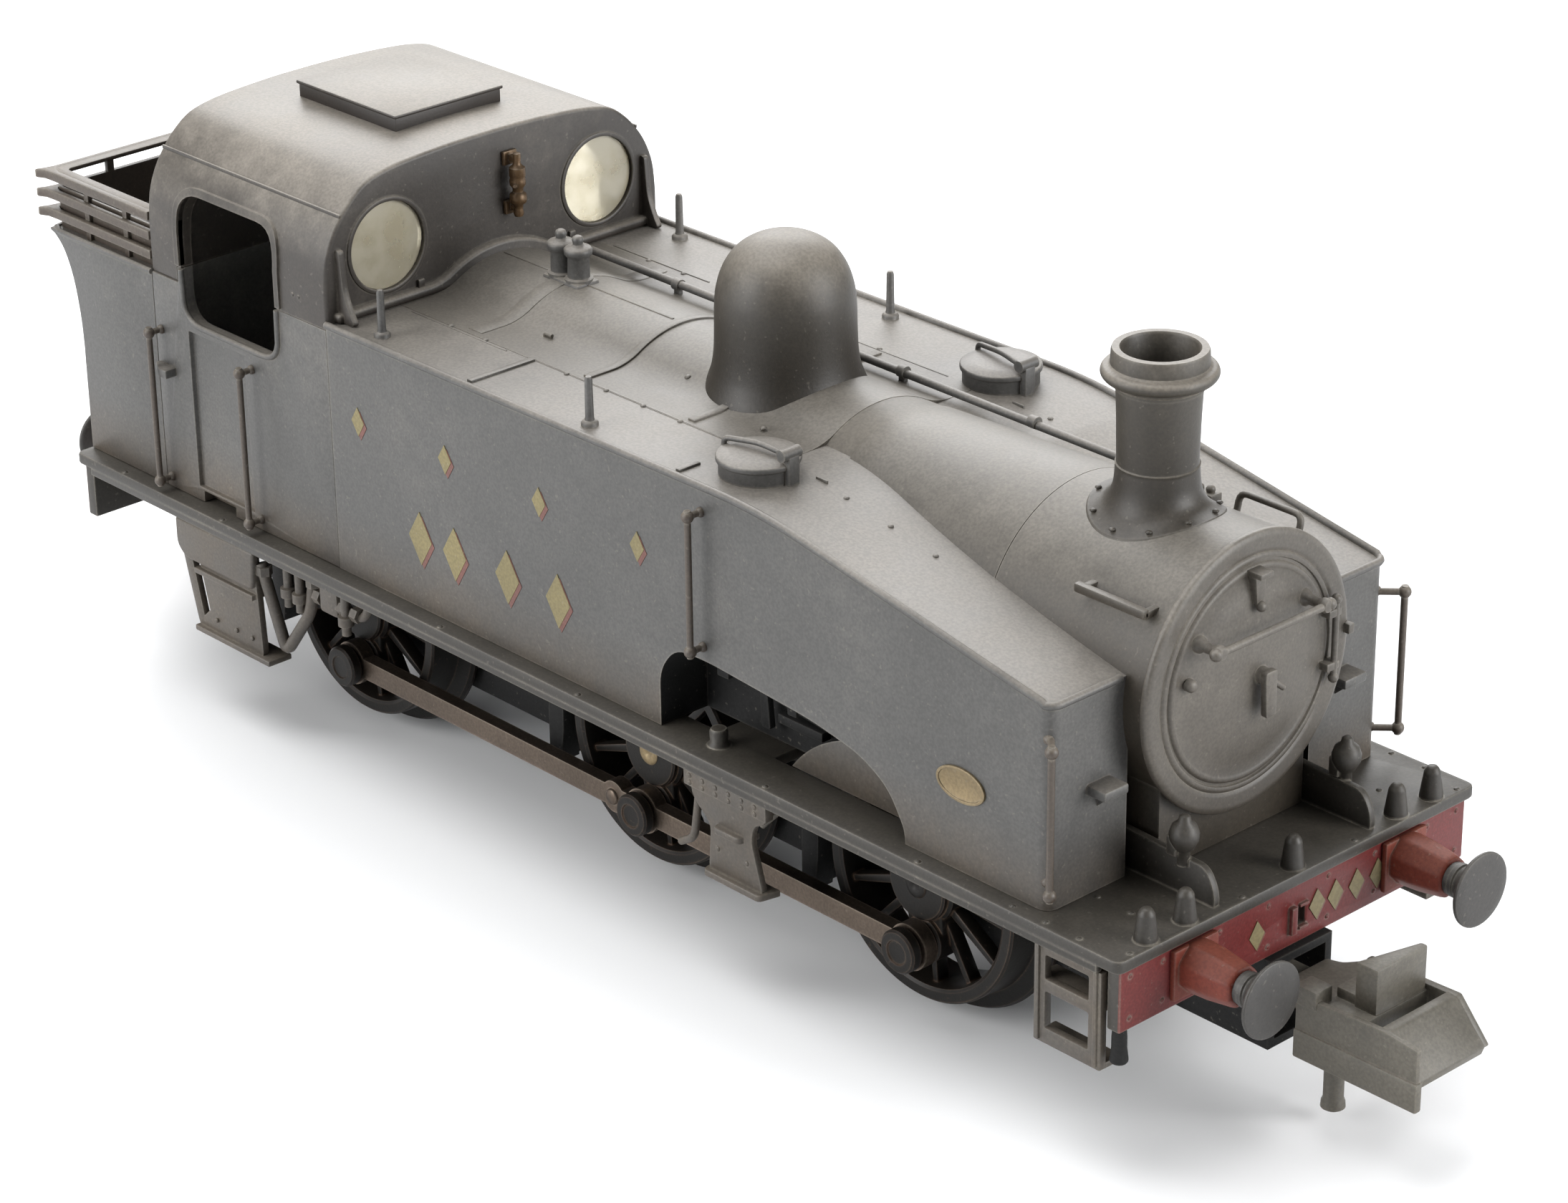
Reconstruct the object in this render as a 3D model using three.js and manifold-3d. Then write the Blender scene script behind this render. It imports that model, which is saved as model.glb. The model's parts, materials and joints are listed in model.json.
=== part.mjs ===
// Model steam locomotive, N gauge: six coupled wheels, side tanks, enclosed cab and coal bunker.
// Millimetres. +X is forward (chimney end), +Y the locomotive's left, +Z up.
// The origin is under the middle of the locomotive, level with the lowest point of the wheel flanges.
import * as THREE from 'three';
import { mergeVertices } from 'three/addons/utils/BufferGeometryUtils.js';
import Module from 'manifold-3d';

const wasm = await Module();
wasm.setup();

// Driving dimensions
const AXLE_X = { front: 17.4, middle: 2.47, rear: -16.06 };
const AXLE_Z = 5.55;
const TREAD_R = 4.8;
const FLANGE_R = 5.55;
const WHEEL_Y = { back: 3.72, flange: 4.3, face: 5.7 };
const CRANK = { x: 0.33, z: -2.21 };        // right-hand crank from the axle; the left one is a quarter turn on
const PIN_R = 0.45;
const ROD_Y = [6.0, 6.6];
const PLATE = { x0: -30.9, x1: 30.95, y: 9.52, z0: 8.72, z1: 9.23 };
const BODY_Y = 8.745;                       // half width over the tanks, cab and bunker
const TANK = { x0: -13.2, x1: 26.85, z: 19.85, bend: 12.2, zFront: 17.17 };
const BOILER = { z: 16, r: 4.8, x0: -13.08, x1: 19.95 };
const SMOKEBOX = { r: 5.33, x0: 20, x1: 27.75 };
const CHIMNEY_X = 23.5;
const DOME_X = 4.3;
const CAB = { x0: -25.15, x1: -13.13, wall: 0.6, seam: 19.65, seamRear: 18.95 };
const FLOOR_Z = 12;                         // cab floor, raised over the rear wheels
const BUFFER = { y: 5.6, z: 7.7, face: 34.56, headR: 1.45 };
const MOTOR = { z: 13.45, r: 3.4, x0: -12.2, x1: -0.6 };
const IDLER_Z = 9.85;
const SWING_X = 27.2;                       // coupler pivots, from the middle of the locomotive
const LIFT = { x: 28.0, z: 4.65 };

// Colours and surfaces
const paint = (color, roughness = 0.85, metalness = 0) =>
  new THREE.MeshStandardMaterial({ color, roughness, metalness });
const mats = {
  charcoal: paint(0x4a4b4b), dusty: paint(0x5c574c), soot: paint(0x55534e), crimson: paint(0x6e2327),
  red: paint(0xa04a3c), plate: paint(0x4e4b43), bronze: paint(0x8a6a3a, 0.45, 0.8),
  glazing: paint(0x9a9166, 0.25), coal: paint(0x2b2a28), rail: paint(0x57493d, 0.7),
  coupler: paint(0x5a554b), diecast: paint(0x2f2f31, 0.6, 0.5), black: paint(0x1f1f20, 0.7),
  steel: paint(0x6b5c50, 0.45, 0.85), wheel: paint(0x37322d, 0.6, 0.4), nylon: paint(0x2a2a2c, 0.6),
  motor: paint(0x8f9296, 0.35, 0.9), brass: paint(0xb08d4a, 0.35, 0.9),
};

// ---- solids ----

// A closed three.js geometry becomes a solid. Its vertices go through map, and its faces are turned outward.
function solid(geometry, map = (x, y, z) => [x, y, z]) {
  const bare = geometry.clone();
  for (const name of ['normal', 'uv']) bare.deleteAttribute(name);
  const merged = mergeVertices(bare, 1e-4);
  const at = merged.attributes.position, index = merged.index.array;
  const points = [];
  for (let i = 0; i < at.count; i++) points.push(map(at.getX(i), at.getY(i), at.getZ(i)));
  const faces = [];
  for (let i = 0; i < index.length; i += 3) {
    const [a, b, c] = [index[i], index[i + 1], index[i + 2]];
    if (a !== b && b !== c && c !== a) faces.push([a, b, c]);
  }
  return fromFaces(points, faces);
}

function fromFaces(points, faces) {
  const v = (i) => new THREE.Vector3(...points[i]);
  let volume = 0;
  for (const [a, b, c] of faces) volume += v(a).dot(v(b).cross(v(c)));
  const order = volume < 0 ? ([a, b, c]) => [a, c, b] : (f) => f;
  return new wasm.Manifold(new wasm.Mesh({
    numProp: 3,
    vertProperties: new Float32Array(points.flat()),
    triVerts: new Uint32Array(faces.map(order).flat()),
  }));
}

const join = (first, ...rest) => rest.flat().reduce((a, b) => a.add(b), first);
const cut = (first, ...rest) => rest.flat().reduce((a, b) => a.subtract(b), first);

function box(x0, x1, y0, y1, z0, z1) {
  const g = new THREE.BoxGeometry(Math.abs(x1 - x0), Math.abs(y1 - y0), z1 - z0);
  return solid(g.translate((x0 + x1) / 2, (y0 + y1) / 2, (z0 + z1) / 2));
}

// An outline pushed from a to b. plane 'xy' is pushed along z, 'xz' along y and 'yz' along x.
function prism(plane, outline, a, b, holes = []) {
  const path = (list) => list.map(([u, v]) => new THREE.Vector2(u, v));
  const shape = new THREE.Shape(path(outline));
  shape.holes = holes.map((hole) => new THREE.Path(path(hole)));
  const g = new THREE.ExtrudeGeometry(shape, { depth: b - a, bevelEnabled: false });
  const map = { xy: (u, v, w) => [u, v, a + w], xz: (u, v, w) => [u, a + w, v], yz: (u, v, w) => [a + w, u, v] };
  return solid(g, map[plane]);
}

// A profile of [radius, height] pairs, from axis to axis, turned about the line through (u, v) along an axis.
function turned(axis, profile, u, v, sides = 24) {
  const g = new THREE.LatheGeometry(profile.map(([r, h]) => new THREE.Vector2(r, h)), sides);
  const map = {
    x: (p, h, q) => [h, u + p, v + q], y: (p, h, q) => [u + p, h, v + q], z: (p, h, q) => [u + p, v + q, h],
  };
  return solid(g, map[axis]);
}

const disc = (axis, r, a, b, u, v, sides = 24) => turned(axis, [[0, a], [r, a], [r, b], [0, b]], u, v, sides);

function ball(x, y, z, r, wide = 6, high = 4) {
  return solid(new THREE.SphereGeometry(r, wide, high).translate(x, y, z));
}

// Round wire through a list of points, with a ball of radius knob at each bend.
function wire(points, r, knob = r * 1.03, sides = 6) {
  const parts = [];
  for (let i = 0; i + 1 < points.length; i++) {
    const a = new THREE.Vector3(...points[i]), b = new THREE.Vector3(...points[i + 1]);
    const g = new THREE.CylinderGeometry(r, r, a.distanceTo(b), sides);
    const turn = new THREE.Quaternion().setFromUnitVectors(new THREE.Vector3(0, 1, 0), b.clone().sub(a).normalize());
    g.applyQuaternion(turn).translate(...a.add(b).multiplyScalar(0.5).toArray());
    parts.push(solid(g));
    if (i > 0) parts.push(ball(...points[i], knob));
  }
  return join(parts[0], parts.slice(1));
}

// The same solid on the other side of the locomotive.
function mirrored(piece) {
  const mesh = piece.getMesh();
  const points = [], faces = [];
  for (let i = 0; i < mesh.vertProperties.length; i += mesh.numProp) {
    const [x, y, z] = mesh.vertProperties.slice(i, i + 3);
    points.push([x, -y, z]);
  }
  for (let i = 0; i < mesh.triVerts.length; i += 3) faces.push([...mesh.triVerts.slice(i, i + 3)]);
  return fromFaces(points, faces);
}

const model = new THREE.Group();

function put(parent, name, piece, material) {
  const made = piece.getMesh();
  const positions = new Float32Array((made.vertProperties.length / made.numProp) * 3);
  for (let i = 0, n = 0; i < made.vertProperties.length; i += made.numProp, n += 3) {
    positions.set(made.vertProperties.slice(i, i + 3), n);
  }
  const g = new THREE.BufferGeometry();
  g.setAttribute('position', new THREE.BufferAttribute(positions, 3));
  g.setIndex(new THREE.BufferAttribute(new Uint32Array(made.triVerts), 1));
  g.computeVertexNormals();
  const mesh = new THREE.Mesh(g, material);
  mesh.name = name;
  parent.add(mesh);
  return mesh;
}

// A piece modelled on the right-hand side, and its mirror image on the left.
function pair(name, piece, material) {
  put(model, `${name}_right`, piece, material);
  put(model, `${name}_left`, mirrored(piece), material);
}

// ---- running plate, beams and buffers ----

const axles = Object.values(AXLE_X);
const wheelRoom = (top) => axles.map((x) => box(x - 5.95, x + 5.95, -6.25, -3, 9, top));
const bothSides = (piece) => [piece, mirrored(piece)];

function runningPlate() {
  const { x0, x1, y, z0, z1 } = PLATE, c = 0.3;
  const outline = [[x0 + c, -y], [x1 - c, -y], [x1, -y + c], [x1, y - c], [x1 - c, y], [x0 + c, y], [x0, y - c],
    [x0, -y + c]];
  let plate = prism('xy', outline, z0, z1);
  plate = cut(plate, box(-23.5, 19.8, -3.5, 3.5, 8, 10));
  for (const x of axles) plate = cut(plate, bothSides(box(x - 5.9, x + 5.9, -7.45, -3.4, 8, 10)));
  const angle = box(-29.9, 29.9, -9.5, -9.2, 8.42, 8.8);
  const nose = [[24.9, 9.1], [30.6, 9.1], [30.55, 9.7], [30.2, 10.35], [29.5, 10.65], [24.9, 10.85]];
  const gusset = prism('xz', nose, -4.3, -4.0);
  const valve = turned('z', [[0, 10.4], [0.26, 10.4], [0.26, 11.1], [0.5, 11.45], [0.5, 11.85], [0.25, 12.15],
    [0.22, 12.35], [0, 12.35]], 29.1, -4.3, 8);
  const oilPot = disc('z', 0.38, 9.1, 9.95, 9.3, -8.25, 10);
  plate = join(plate, [angle, gusset, valve, oilPot].flatMap(bothSides));
  const peg = [[0, 9.1], [0.42, 9.1], [0.3, 10.25], [0.18, 10.5], [0, 10.5]];
  for (const at of [-7.6, -5.62, 0, 5.62, 7.6]) plate = join(plate, turned('z', peg, 30.42, at, 6));
  return plate;
}
put(model, 'footplate', runningPlate(), mats.plate);

// The front beam carries a drawhook slot and two guard pegs.
const beam = cut(box(30.15, 30.75, -9.2, 9.2, 6.25, 8.7), box(30.4, 30.8, 0.05, 0.45, 6.9, 7.7));
const slotPlate = box(30.7, 30.95, -0.5, -0.2, 6.75, 7.85);
const guard = turned('z', [[0, 4.9], [0.36, 4.9], [0.28, 5.3], [0.25, 6.3], [0, 6.3]], 30.45, -8.85, 8);
put(model, 'buffer_beam_front', join(beam, slotPlate, bothSides(guard)), mats.crimson);
put(model, 'buffer_beam_rear', cut(box(-30.75, -30.15, -9.2, 9.2, 6.25, 8.7),
  box(-30.8, -30.4, -0.2, 0.2, 6.9, 7.7)), mats.crimson);

function buffer() {
  const { face, headR } = BUFFER;
  const root = 30.77;
  const flange = box(root, root + 0.25, -1.15, 1.15, -1.12, 0.93);
  const housing = turned('x', [[0, root], [0.98, root], [1.05, root + 0.35], [1.02, root + 0.9], [0.82, root + 2.45],
    [0, root + 2.45]], 0, 0, 8);
  const ram = turned('x', [[0, root + 1], [0.62, root + 1], [0.62, face - 0.7], [headR, face - 0.25],
    [headR, face], [0, face]], 0, 0, 16);
  return join(flange, housing, ram);
}
for (const [end, turn] of [['front', 0], ['rear', Math.PI]]) {
  for (const [side, y] of [['right', -BUFFER.y], ['left', BUFFER.y]]) {
    const mesh = put(model, `buffer_${end}_${side}`, buffer(), mats.red);
    mesh.position.set(0, y, BUFFER.z);
    mesh.rotation.z = turn;
  }
}

// ---- boiler, smokebox and fittings ----

const boilerRound = disc('x', BOILER.r, BOILER.x0, BOILER.x1, 0, BOILER.z, 36);
const motorBay = box(BOILER.x0 - 1, 8, -3.62, 3.62, 8, 17.2);
put(model, 'boiler', cut(boilerRound, motorBay), mats.dusty);

const smokeRound = disc('x', SMOKEBOX.r, SMOKEBOX.x0, SMOKEBOX.x1, 0, BOILER.z, 36);
const saddle = box(23.7, 27.5, -3.85, 3.85, PLATE.z1 + 0.02, 13);
const sideRail = wire([[24.3, -3.9, 18.8], [24.3, -4.5, 19.45], [27.3, -4.5, 19.45], [27.3, -3.9, 18.8]], 0.16, 0.2);
const topRail = wire([[24.3, 3.2, 19.9], [24.3, 3.5, 20.65], [27.2, 3.5, 20.65], [27.2, 3.2, 19.9]], 0.15, 0.2);
put(model, 'smokebox', join(smokeRound, saddle, sideRail, topRail), mats.dusty);

function smokeboxDoor() {
  const x = SMOKEBOX.x1 + 0.02;
  const dish = turned('x', [[0, x], [5.33, x], [5.33, x + 0.28], [4.5, x + 0.28], [4.3, x + 0.42],
    [2.2, x + 0.62], [0, x + 0.68]], 0, BOILER.z, 28);
  const rail = wire([[x + 0.3, -2.75, 18.05], [x + 1.35, -2.75, 18.05], [x + 1.35, 2.75, 18.05],
    [x + 0.3, 2.75, 18.05]], 0.17);
  const iron = prism('xz', [[x + 0.3, 19.1], [x + 0.75, 19.1], [x + 1.0, 19.75], [x + 1.0, 20.05],
    [x + 0.3, 20.05]], -0.22, 0.22);
  const dart = wire([[x + 0.4, 0.2, 16.0], [x + 1.15, 0.2, 16.0], [x + 1.15, 0.2, 14.7]], 0.26);
  const second = wire([[x + 0.8, 0.2, 16.0], [x + 0.95, 0.85, 15.6]], 0.14);
  const hinge = wire([[x + 0.55, 4.15, 15.0], [x + 0.55, 4.15, 17.4]], 0.13);
  const straps = [15.1, 17.3].map((z) => box(x + 0.1, x + 0.7, 3.6, 4.4, z - 0.18, z + 0.18));
  return join(dish, rail, iron, dart, second, hinge, straps);
}
put(model, 'smokebox_door', smokeboxDoor(), mats.dusty);

const chimneyProfile = [[0, 20], [2.5, 20], [2.5, 21.0], [2.12, 21.45], [1.7, 22.0], [1.46, 22.66], [1.47, 23.2],
  [1.55, 25.65], [1.9, 25.8], [2.1, 26.05], [2.1, 26.25], [1.78, 26.45], [1.72, 26.6], [1.72, 27], [1.38, 27],
  [1.3, 22.5], [0, 22.5]];
const smokeSkin = disc('x', SMOKEBOX.r + 0.03, SMOKEBOX.x0 - 1, SMOKEBOX.x1 + 1, 0, BOILER.z, 36);
put(model, 'chimney', cut(turned('z', chimneyProfile, CHIMNEY_X, 0, 18), smokeSkin), mats.dusty);

const boilerSkin = disc('x', BOILER.r + 0.03, BOILER.x0 - 1, BOILER.x1 + 1, 0, BOILER.z, 36);
const domeProfile = [[0, 19.9], [3.2, 19.9], [3.15, 20.6], [2.85, 21.1], [2.68, 21.8], [2.65, 23.5], [2.52, 24.3],
  [2.15, 25.15], [1.5, 25.8], [0.75, 26.08], [0, 26.13]];
const tankTops = box(-30, 30, -9, 9, 10, TANK.z + 0.02);
put(model, 'dome', cut(turned('z', domeProfile, DOME_X, 0, 18), boilerSkin, tankTops), mats.dusty);

const valveProfile = [[0, 20.3], [0.45, 20.3], [0.42, 21.95], [0.56, 22.05], [0.56, 22.25], [0.22, 22.4],
  [0.24, 22.65], [0, 22.78]];
const valveBase = box(-9.6, -7.25, -0.62, 0.62, 20.3, 20.95);
const valves = [-8.95, -7.9].map((x) => turned('z', valveProfile, x, 0, 10));
put(model, 'safety_valves', cut(join(valveBase, valves), boilerSkin), mats.charcoal);

const whistleBody = turned('z', [[0, 22.2], [0.2, 22.2], [0.2, 22.7], [0.34, 22.85], [0.34, 23.2], [0.22, 23.35],
  [0.33, 23.6], [0.33, 24.3], [0.16, 24.45], [0.16, 24.95], [0, 24.95]], -12.55, 0.8, 10);
const whistleArms = [24.75, 22.45].map((z) => box(-13.1, -12.5, 0.68, 0.92, z - 0.15, z + 0.15));
put(model, 'whistle', join(whistleBody, whistleArms), mats.bronze);

const pipe = wire([[-13.05, 3.6, 20.3], [19.9, 3.6, 20.12]], 0.19);
const pipeFeet = [-6, 0, 7, 14].map((x) => box(x - 0.2, x + 0.2, 3.5, 3.7, TANK.z + 0.02, 20.2));
put(model, 'boiler_pipe_left', join(pipe, pipeFeet.slice(0, 3)), mats.charcoal);

// ---- side tanks ----

const { x0: tx0, x1: tx1, z: tz, bend, zFront } = TANK;

function sideTank() {
  const top = [[tx0, tz], [bend - 1.2, tz], [bend - 0.3, tz - 0.06], [bend + 1, tz - 0.25], [tx1, zFront]];
  const base = PLATE.z1 + 0.02;
  const side = prism('xz', [[tx0, base], [tx1, base], ...[...top].reverse()], -BODY_Y, -2.6);
  const notch = [[6.6, 9], [6.6, 11.3], [6.9, 12.1], [7.6, 12.6], [9.0, 12.75], [14.9, 12.35], [17.2, 11.95],
    [18.5, 11.35], [19.3, 10.6], [19.7, 9]];
  const alcove = prism('xz', notch, -9, -6.4);
  const inner = box(tx0 - 1, tx1 + 1, -4.85, 0, 9, 16);
  let tank = cut(side, inner, boilerSkin, smokeSkin, alcove, wheelRoom(11.5));
  const splasher = cut(disc('y', 6.15, -7.5, -6.3, AXLE_X.front, AXLE_Z, 48), box(0, 30, -9, 0, -1, base),
    box(18.6, 30, -9, 0, 5, 20));
  const rod = wire([[8.8, -7.2, 11.9], [14.5, -7.2, 11.3]], 0.18);
  const rodEnd = box(8.4, 8.9, -7.4, -6.3, 11.6, 12.9);
  const over = top.map(([x, z]) => [x, z + 0.16]), under = top.map(([x, z]) => [x, z - 0.2]).reverse();
  const bead = prism('xz', [...over, ...under], -BODY_Y - 0.12, -BODY_Y + 0.28);
  const frontBead = box(tx1 - 0.15, tx1 + 0.14, -BODY_Y - 0.12, -5.35, zFront - 0.2, zFront + 0.16);
  const bracket = box(tx1 - 0.1, tx1 + 0.9, -6.9, -5.9, 13.2, 13.6);
  const foot = [[0, tz - 0.5], [0.32, tz - 0.5], [0.32, tz + 0.15], [0.17, tz + 0.2], [0.17, tz + 2.0], [0, tz + 2.0]];
  const pegs = [1.9, -10.7].map((x) => turned('z', foot, x, -7.75, 8));
  const filler = [[0, tz - 0.5], [1.5, tz - 0.5], [1.5, tz + 0.55], [1.6, tz + 0.6], [1.6, tz + 0.78],
    [0.9, tz + 0.9], [0, tz + 0.92]];
  const lid = turned('z', filler, 9.6, -6.3, 16);
  const strap = box(8.2, 11.45, -6.45, -6.15, tz + 0.5, tz + 1.02);
  const lug = box(11.0, 11.6, -6.6, -6.0, tz - 0.3, tz + 1.25);
  tank = join(tank, splasher, rod, rodEnd, bead, frontBead, bracket, pegs, lid, strap, lug);
  return cut(tank, smokeSkin);
}
pair('side_tank', sideTank(), mats.charcoal);

// ---- cab ----

const roofHalf = [[8.745, 21.2], [8.62, 22.4], [8.25, 23.4], [7.72, 24.2], [7.1, 24.85], [6.35, 25.35], [5.3, 25.62],
  [4.0, 25.76], [2.0, 25.87], [0, 25.9]];
const arch = (grow, z) => {
  const half = roofHalf.map(([y, h]) => [Math.max(0, y - grow), h - grow]);
  return [[-half[0][0], z], ...half.map(([y, h]) => [-y, h]), ...half.slice(0, -1).reverse(), [half[0][0], z]];
};
const roundWindow = (x0, x1, y, z, r) => disc('x', r, x0, x1, y, z, 20);

function cabShell() {
  const { x0, x1, wall, seam, seamRear } = CAB;
  let shell = prism('yz', arch(0, seamRear), x0, x1);
  shell = cut(shell, prism('yz', arch(wall, 10), x0 + wall, x1 - wall));
  shell = cut(shell, box(-23.3, x1 + 1, -10, 10, 10, seam), box(x1 - 1.5, x1 + 1, -10, 10, 10, TANK.z + 0.02));
  const door = [[-23, 17], [-23, 22.1], [-22.7, 22.75], [-22.1, 23], [-17.2, 23], [-16.7, 22.75], [-16.45, 22.2],
    [-16.45, 17]];
  shell = cut(shell, prism('xz', door, -10, 10), boilerSkin);
  for (const y of [-5.54, 5.54]) shell = cut(shell, roundWindow(x1 - 1, x1 + 1, y, 22.43, 1.85));
  for (const y of [-5.0, 5.0]) shell = cut(shell, roundWindow(x0 - 1, x0 + 1, y, 22.6, 1.5));
  const fin = prism('xz', [[x1 - 0.1, TANK.z + 0.05], [x1 + 1.0, TANK.z + 0.05], [x1 + 0.15, 22.6], [x1 - 0.1, 22.6]],
    -8.1, -7.85);
  return join(shell, bothSides(fin));
}
put(model, 'cab_shell', cabShell(), mats.soot);

// The lower cab: side sheets with the door recess, front and back sheets, and the floor over the rear wheels.
function cabLower() {
  const { x0, wall, seam, seamRear } = CAB, x1 = TANK.x0 - 0.03, base = PLATE.z1 + 0.02;
  let shell = cut(box(x0, x1, -BODY_Y, BODY_Y, base, seam - 0.02),
    box(x0 + wall, x1 - wall, -BODY_Y + wall, BODY_Y - wall, FLOOR_Z, 30), box(x0 - 1, -23.3, -10, 10, seamRear - 0.02, 30));
  const gap = [[-23, 30], [-23, 17.3], [-17.4, 17.3], [-16.75, 17.6], [-16.45, 18.2], [-16.45, 30]];
  shell = cut(shell, prism('xz', gap, -10, 10), wheelRoom(11.5).flatMap(bothSides),
    bothSides(box(-22.8, -18.9, -BODY_Y - 1, -BODY_Y + 0.22, 9.9, 16.9)), box(x0 + wall, -23.4, -3.4, 3.4, 9, 10));
  const backhead = cut(disc('x', 4.2, x1 - wall - 1.1, x1 - wall + 0.1, 0, BOILER.z, 20), box(-20, 0, -5, 5, 19.4, 30));
  const seat = box(x0 + wall - 0.1, -21.8, -7.9, -4.6, FLOOR_Z - 0.1, 14.6);
  const lugs = [-24.6, -23.6].map((x) => box(x, x + 0.3, -9.0, -BODY_Y + 0.1, 14.2, 14.5));
  return join(shell, backhead, bothSides(seat), bothSides(lugs[0]));
}
put(model, 'cab_lower', cabLower(), mats.charcoal);

const hatch = join(box(-22.1, -16.0, -2.58, 2.58, 25.3, 26.25), box(-22.35, -15.75, -2.83, 2.83, 26.2, 26.55));
put(model, 'roof_hatch', cut(hatch, prism('yz', arch(-0.02, 20), CAB.x0 - 1, CAB.x1 + 1)), mats.soot);

function glazing(face, inward, y, z, r) {
  const a = face + inward * 0.25, b = face + inward * 0.95, back = face + inward * 0.65;
  const panes = [-y, y].map((at) => disc('x', r - 0.03, Math.min(a, b), Math.max(a, b), at, z, 20));
  return join(box(Math.min(back, b), Math.max(back, b), -y, y, z - 0.4, z + 0.4), panes);
}
put(model, 'window_glazing_front', glazing(CAB.x1, -1, 5.54, 22.43, 1.85), mats.glazing);
put(model, 'window_glazing_rear', glazing(CAB.x0, 1, 5.0, 22.6, 1.5), mats.glazing);

// ---- bunker, coal and rails ----

const bunkerBack = [[-30.75, 9.25], [-30.75, 14], [-30.85, 15.3], [-31.1, 17.2], [-31.6, 18.3], [-32.2, 18.72],
  [-32.6, 18.78], [-32.6, 18.93]];
const pocket = [[-25.8, 19.2], [-25.8, 14], [-30.15, 14], [-30.3, 15.6], [-30.6, 17.4], [-31.1, 18.4], [-31.6, 19.2]];
put(model, 'bunker', cut(prism('xz', [[-25.19, 9.25], ...bunkerBack, [-25.19, 18.93]], -BODY_Y, BODY_Y),
  prism('xz', pocket, -8.15, 8.15)), mats.charcoal);

function coalLoad() {
  const bed = prism('xz', [[-25.86, 18.3], [-25.86, 14.05], [-30.08, 14.05], [-30.24, 15.6], [-30.54, 17.4],
    [-30.9, 18.2], [-30.9, 18.3]], -8.08, 8.08);
  const lumps = [...Array(12)].map((_, i) => {
    const x = -27 - 2.1 * (i % 2), y = -6.9 + 1.25 * i, r = 0.95 + 0.3 * ((i * 5) % 4) / 3;
    return solid(new THREE.IcosahedronGeometry(r, 0).rotateX(i).rotateY(i * 2).translate(x, y, 18.35));
  });
  return join(bed, lumps);
}
put(model, 'coal_load', coalLoad(), mats.coal);

function coalRails() {
  const bar = [[-25.2, 8.75], [-32.3, 8.75], [-33.05, 9.0], [-32.8, 8.3], [-32.8, -8.3], [-33.05, -9.0],
    [-32.3, -8.75], [-25.2, -8.75], [-25.2, -8.45], [-32.1, -8.45], [-32.5, -8.1], [-32.5, 8.1], [-32.1, 8.45],
    [-25.2, 8.45]];
  const bars = [19.5, 20.35, 21.2].map((z) => prism('xy', bar, z, z + 0.32));
  const sidePosts = [-27.4, -30.2].map((x) => box(x, x + 0.35, -8.5, -8.25, 18.95, 21.45));
  const backPosts = [-5.6, 0, 5.6].map((y) => box(-32.55, -32.3, y - 0.18, y + 0.18, 18.95, 21.45));
  return join(bars[0], bars.slice(1), sidePosts.flatMap(bothSides), backPosts);
}
put(model, 'coal_rails', coalRails(), mats.rail);

// ---- handrails, steps and pipes ----

function handrail(x, z0, z1, dx = 0, dy = -0.63) {
  const y = -BODY_Y - 0.03, out = [x + dx, y + dy];
  return wire([[x, y, z0], [...out, z0], [...out, z1], [x, y, z1]], 0.16, 0.28);
}
pair('handrail_tank_middle', handrail(9.1, 13.4, 18.85), mats.rail);
pair('handrail_tank_front', handrail(TANK.x1 + 0.05, 10.35, 15.9, 0.5, -0.48), mats.rail);
pair('handrail_cab_front', handrail(-18.45, 9.75, 16.45), mats.rail);
pair('handrail_cab_rear', handrail(-24.75, 9.75, 16.45), mats.rail);

const stepFace = [-9.35, -9.0];
function frontSteps() {
  const frame = prism('xz', [[26.8, 4.5], [30.0, 4.5], [30.0, 8.4], [26.8, 8.4]], ...stepFace, [
    [[27.4, 5.15], [27.4, 6.55], [29.35, 6.55], [29.35, 5.15]], [[27.4, 7.15], [27.4, 8.05], [29.35, 8.05], [29.35, 7.15]],
  ]);
  const treads = [4.5, 6.8].map((z) => box(26.8, 30.0, -9.05, -8.2, z, z + 0.25));
  return join(frame, treads);
}
pair('front_steps', frontSteps(), mats.charcoal);

function middleSteps() {
  const outline = [[8.6, 8.4], [8.7, 7.4], [9.6, 6.5], [9.5, 4.45], [12.8, 4.45], [12.3, 7.2], [12.6, 8.4]];
  const treads = [[9.3, 13.0, 4.3], [9.7, 12.2, 6.35]].map(([a, b, z]) => box(a, b, -9.5, -8.3, z, z + 0.25));
  return join(prism('xz', outline, ...stepFace), treads);
}
pair('middle_steps', middleSteps(), mats.charcoal);

function rearSteps() {
  const outline = [[-23.6, 8.4], [-23.6, 6.9], [-22.7, 3.6], [-18.2, 3.6], [-18.5, 8.4]];
  const slot = [[-23.0, 6.9], [-22.35, 4.2], [-21.9, 4.6], [-22.5, 7.0]];
  const treads = [[-22.8, -17.6, 3.45], [-22.6, -18.5, 6.2]].map(([a, b, z]) => box(a, b, -9.5, -8.3, z, z + 0.25));
  const vee = wire([[-18.35, -9.1, 7.9], [-17.2, -8.8, 4.2], [-15.6, -8.6, 6.4], [-15.2, -8.6, 8.35]], 0.3);
  return join(prism('xz', outline, ...stepFace, [slot]), treads, vee);
}
pair('rear_steps', rearSteps(), mats.charcoal);

// ---- chassis and drive ----

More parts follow.
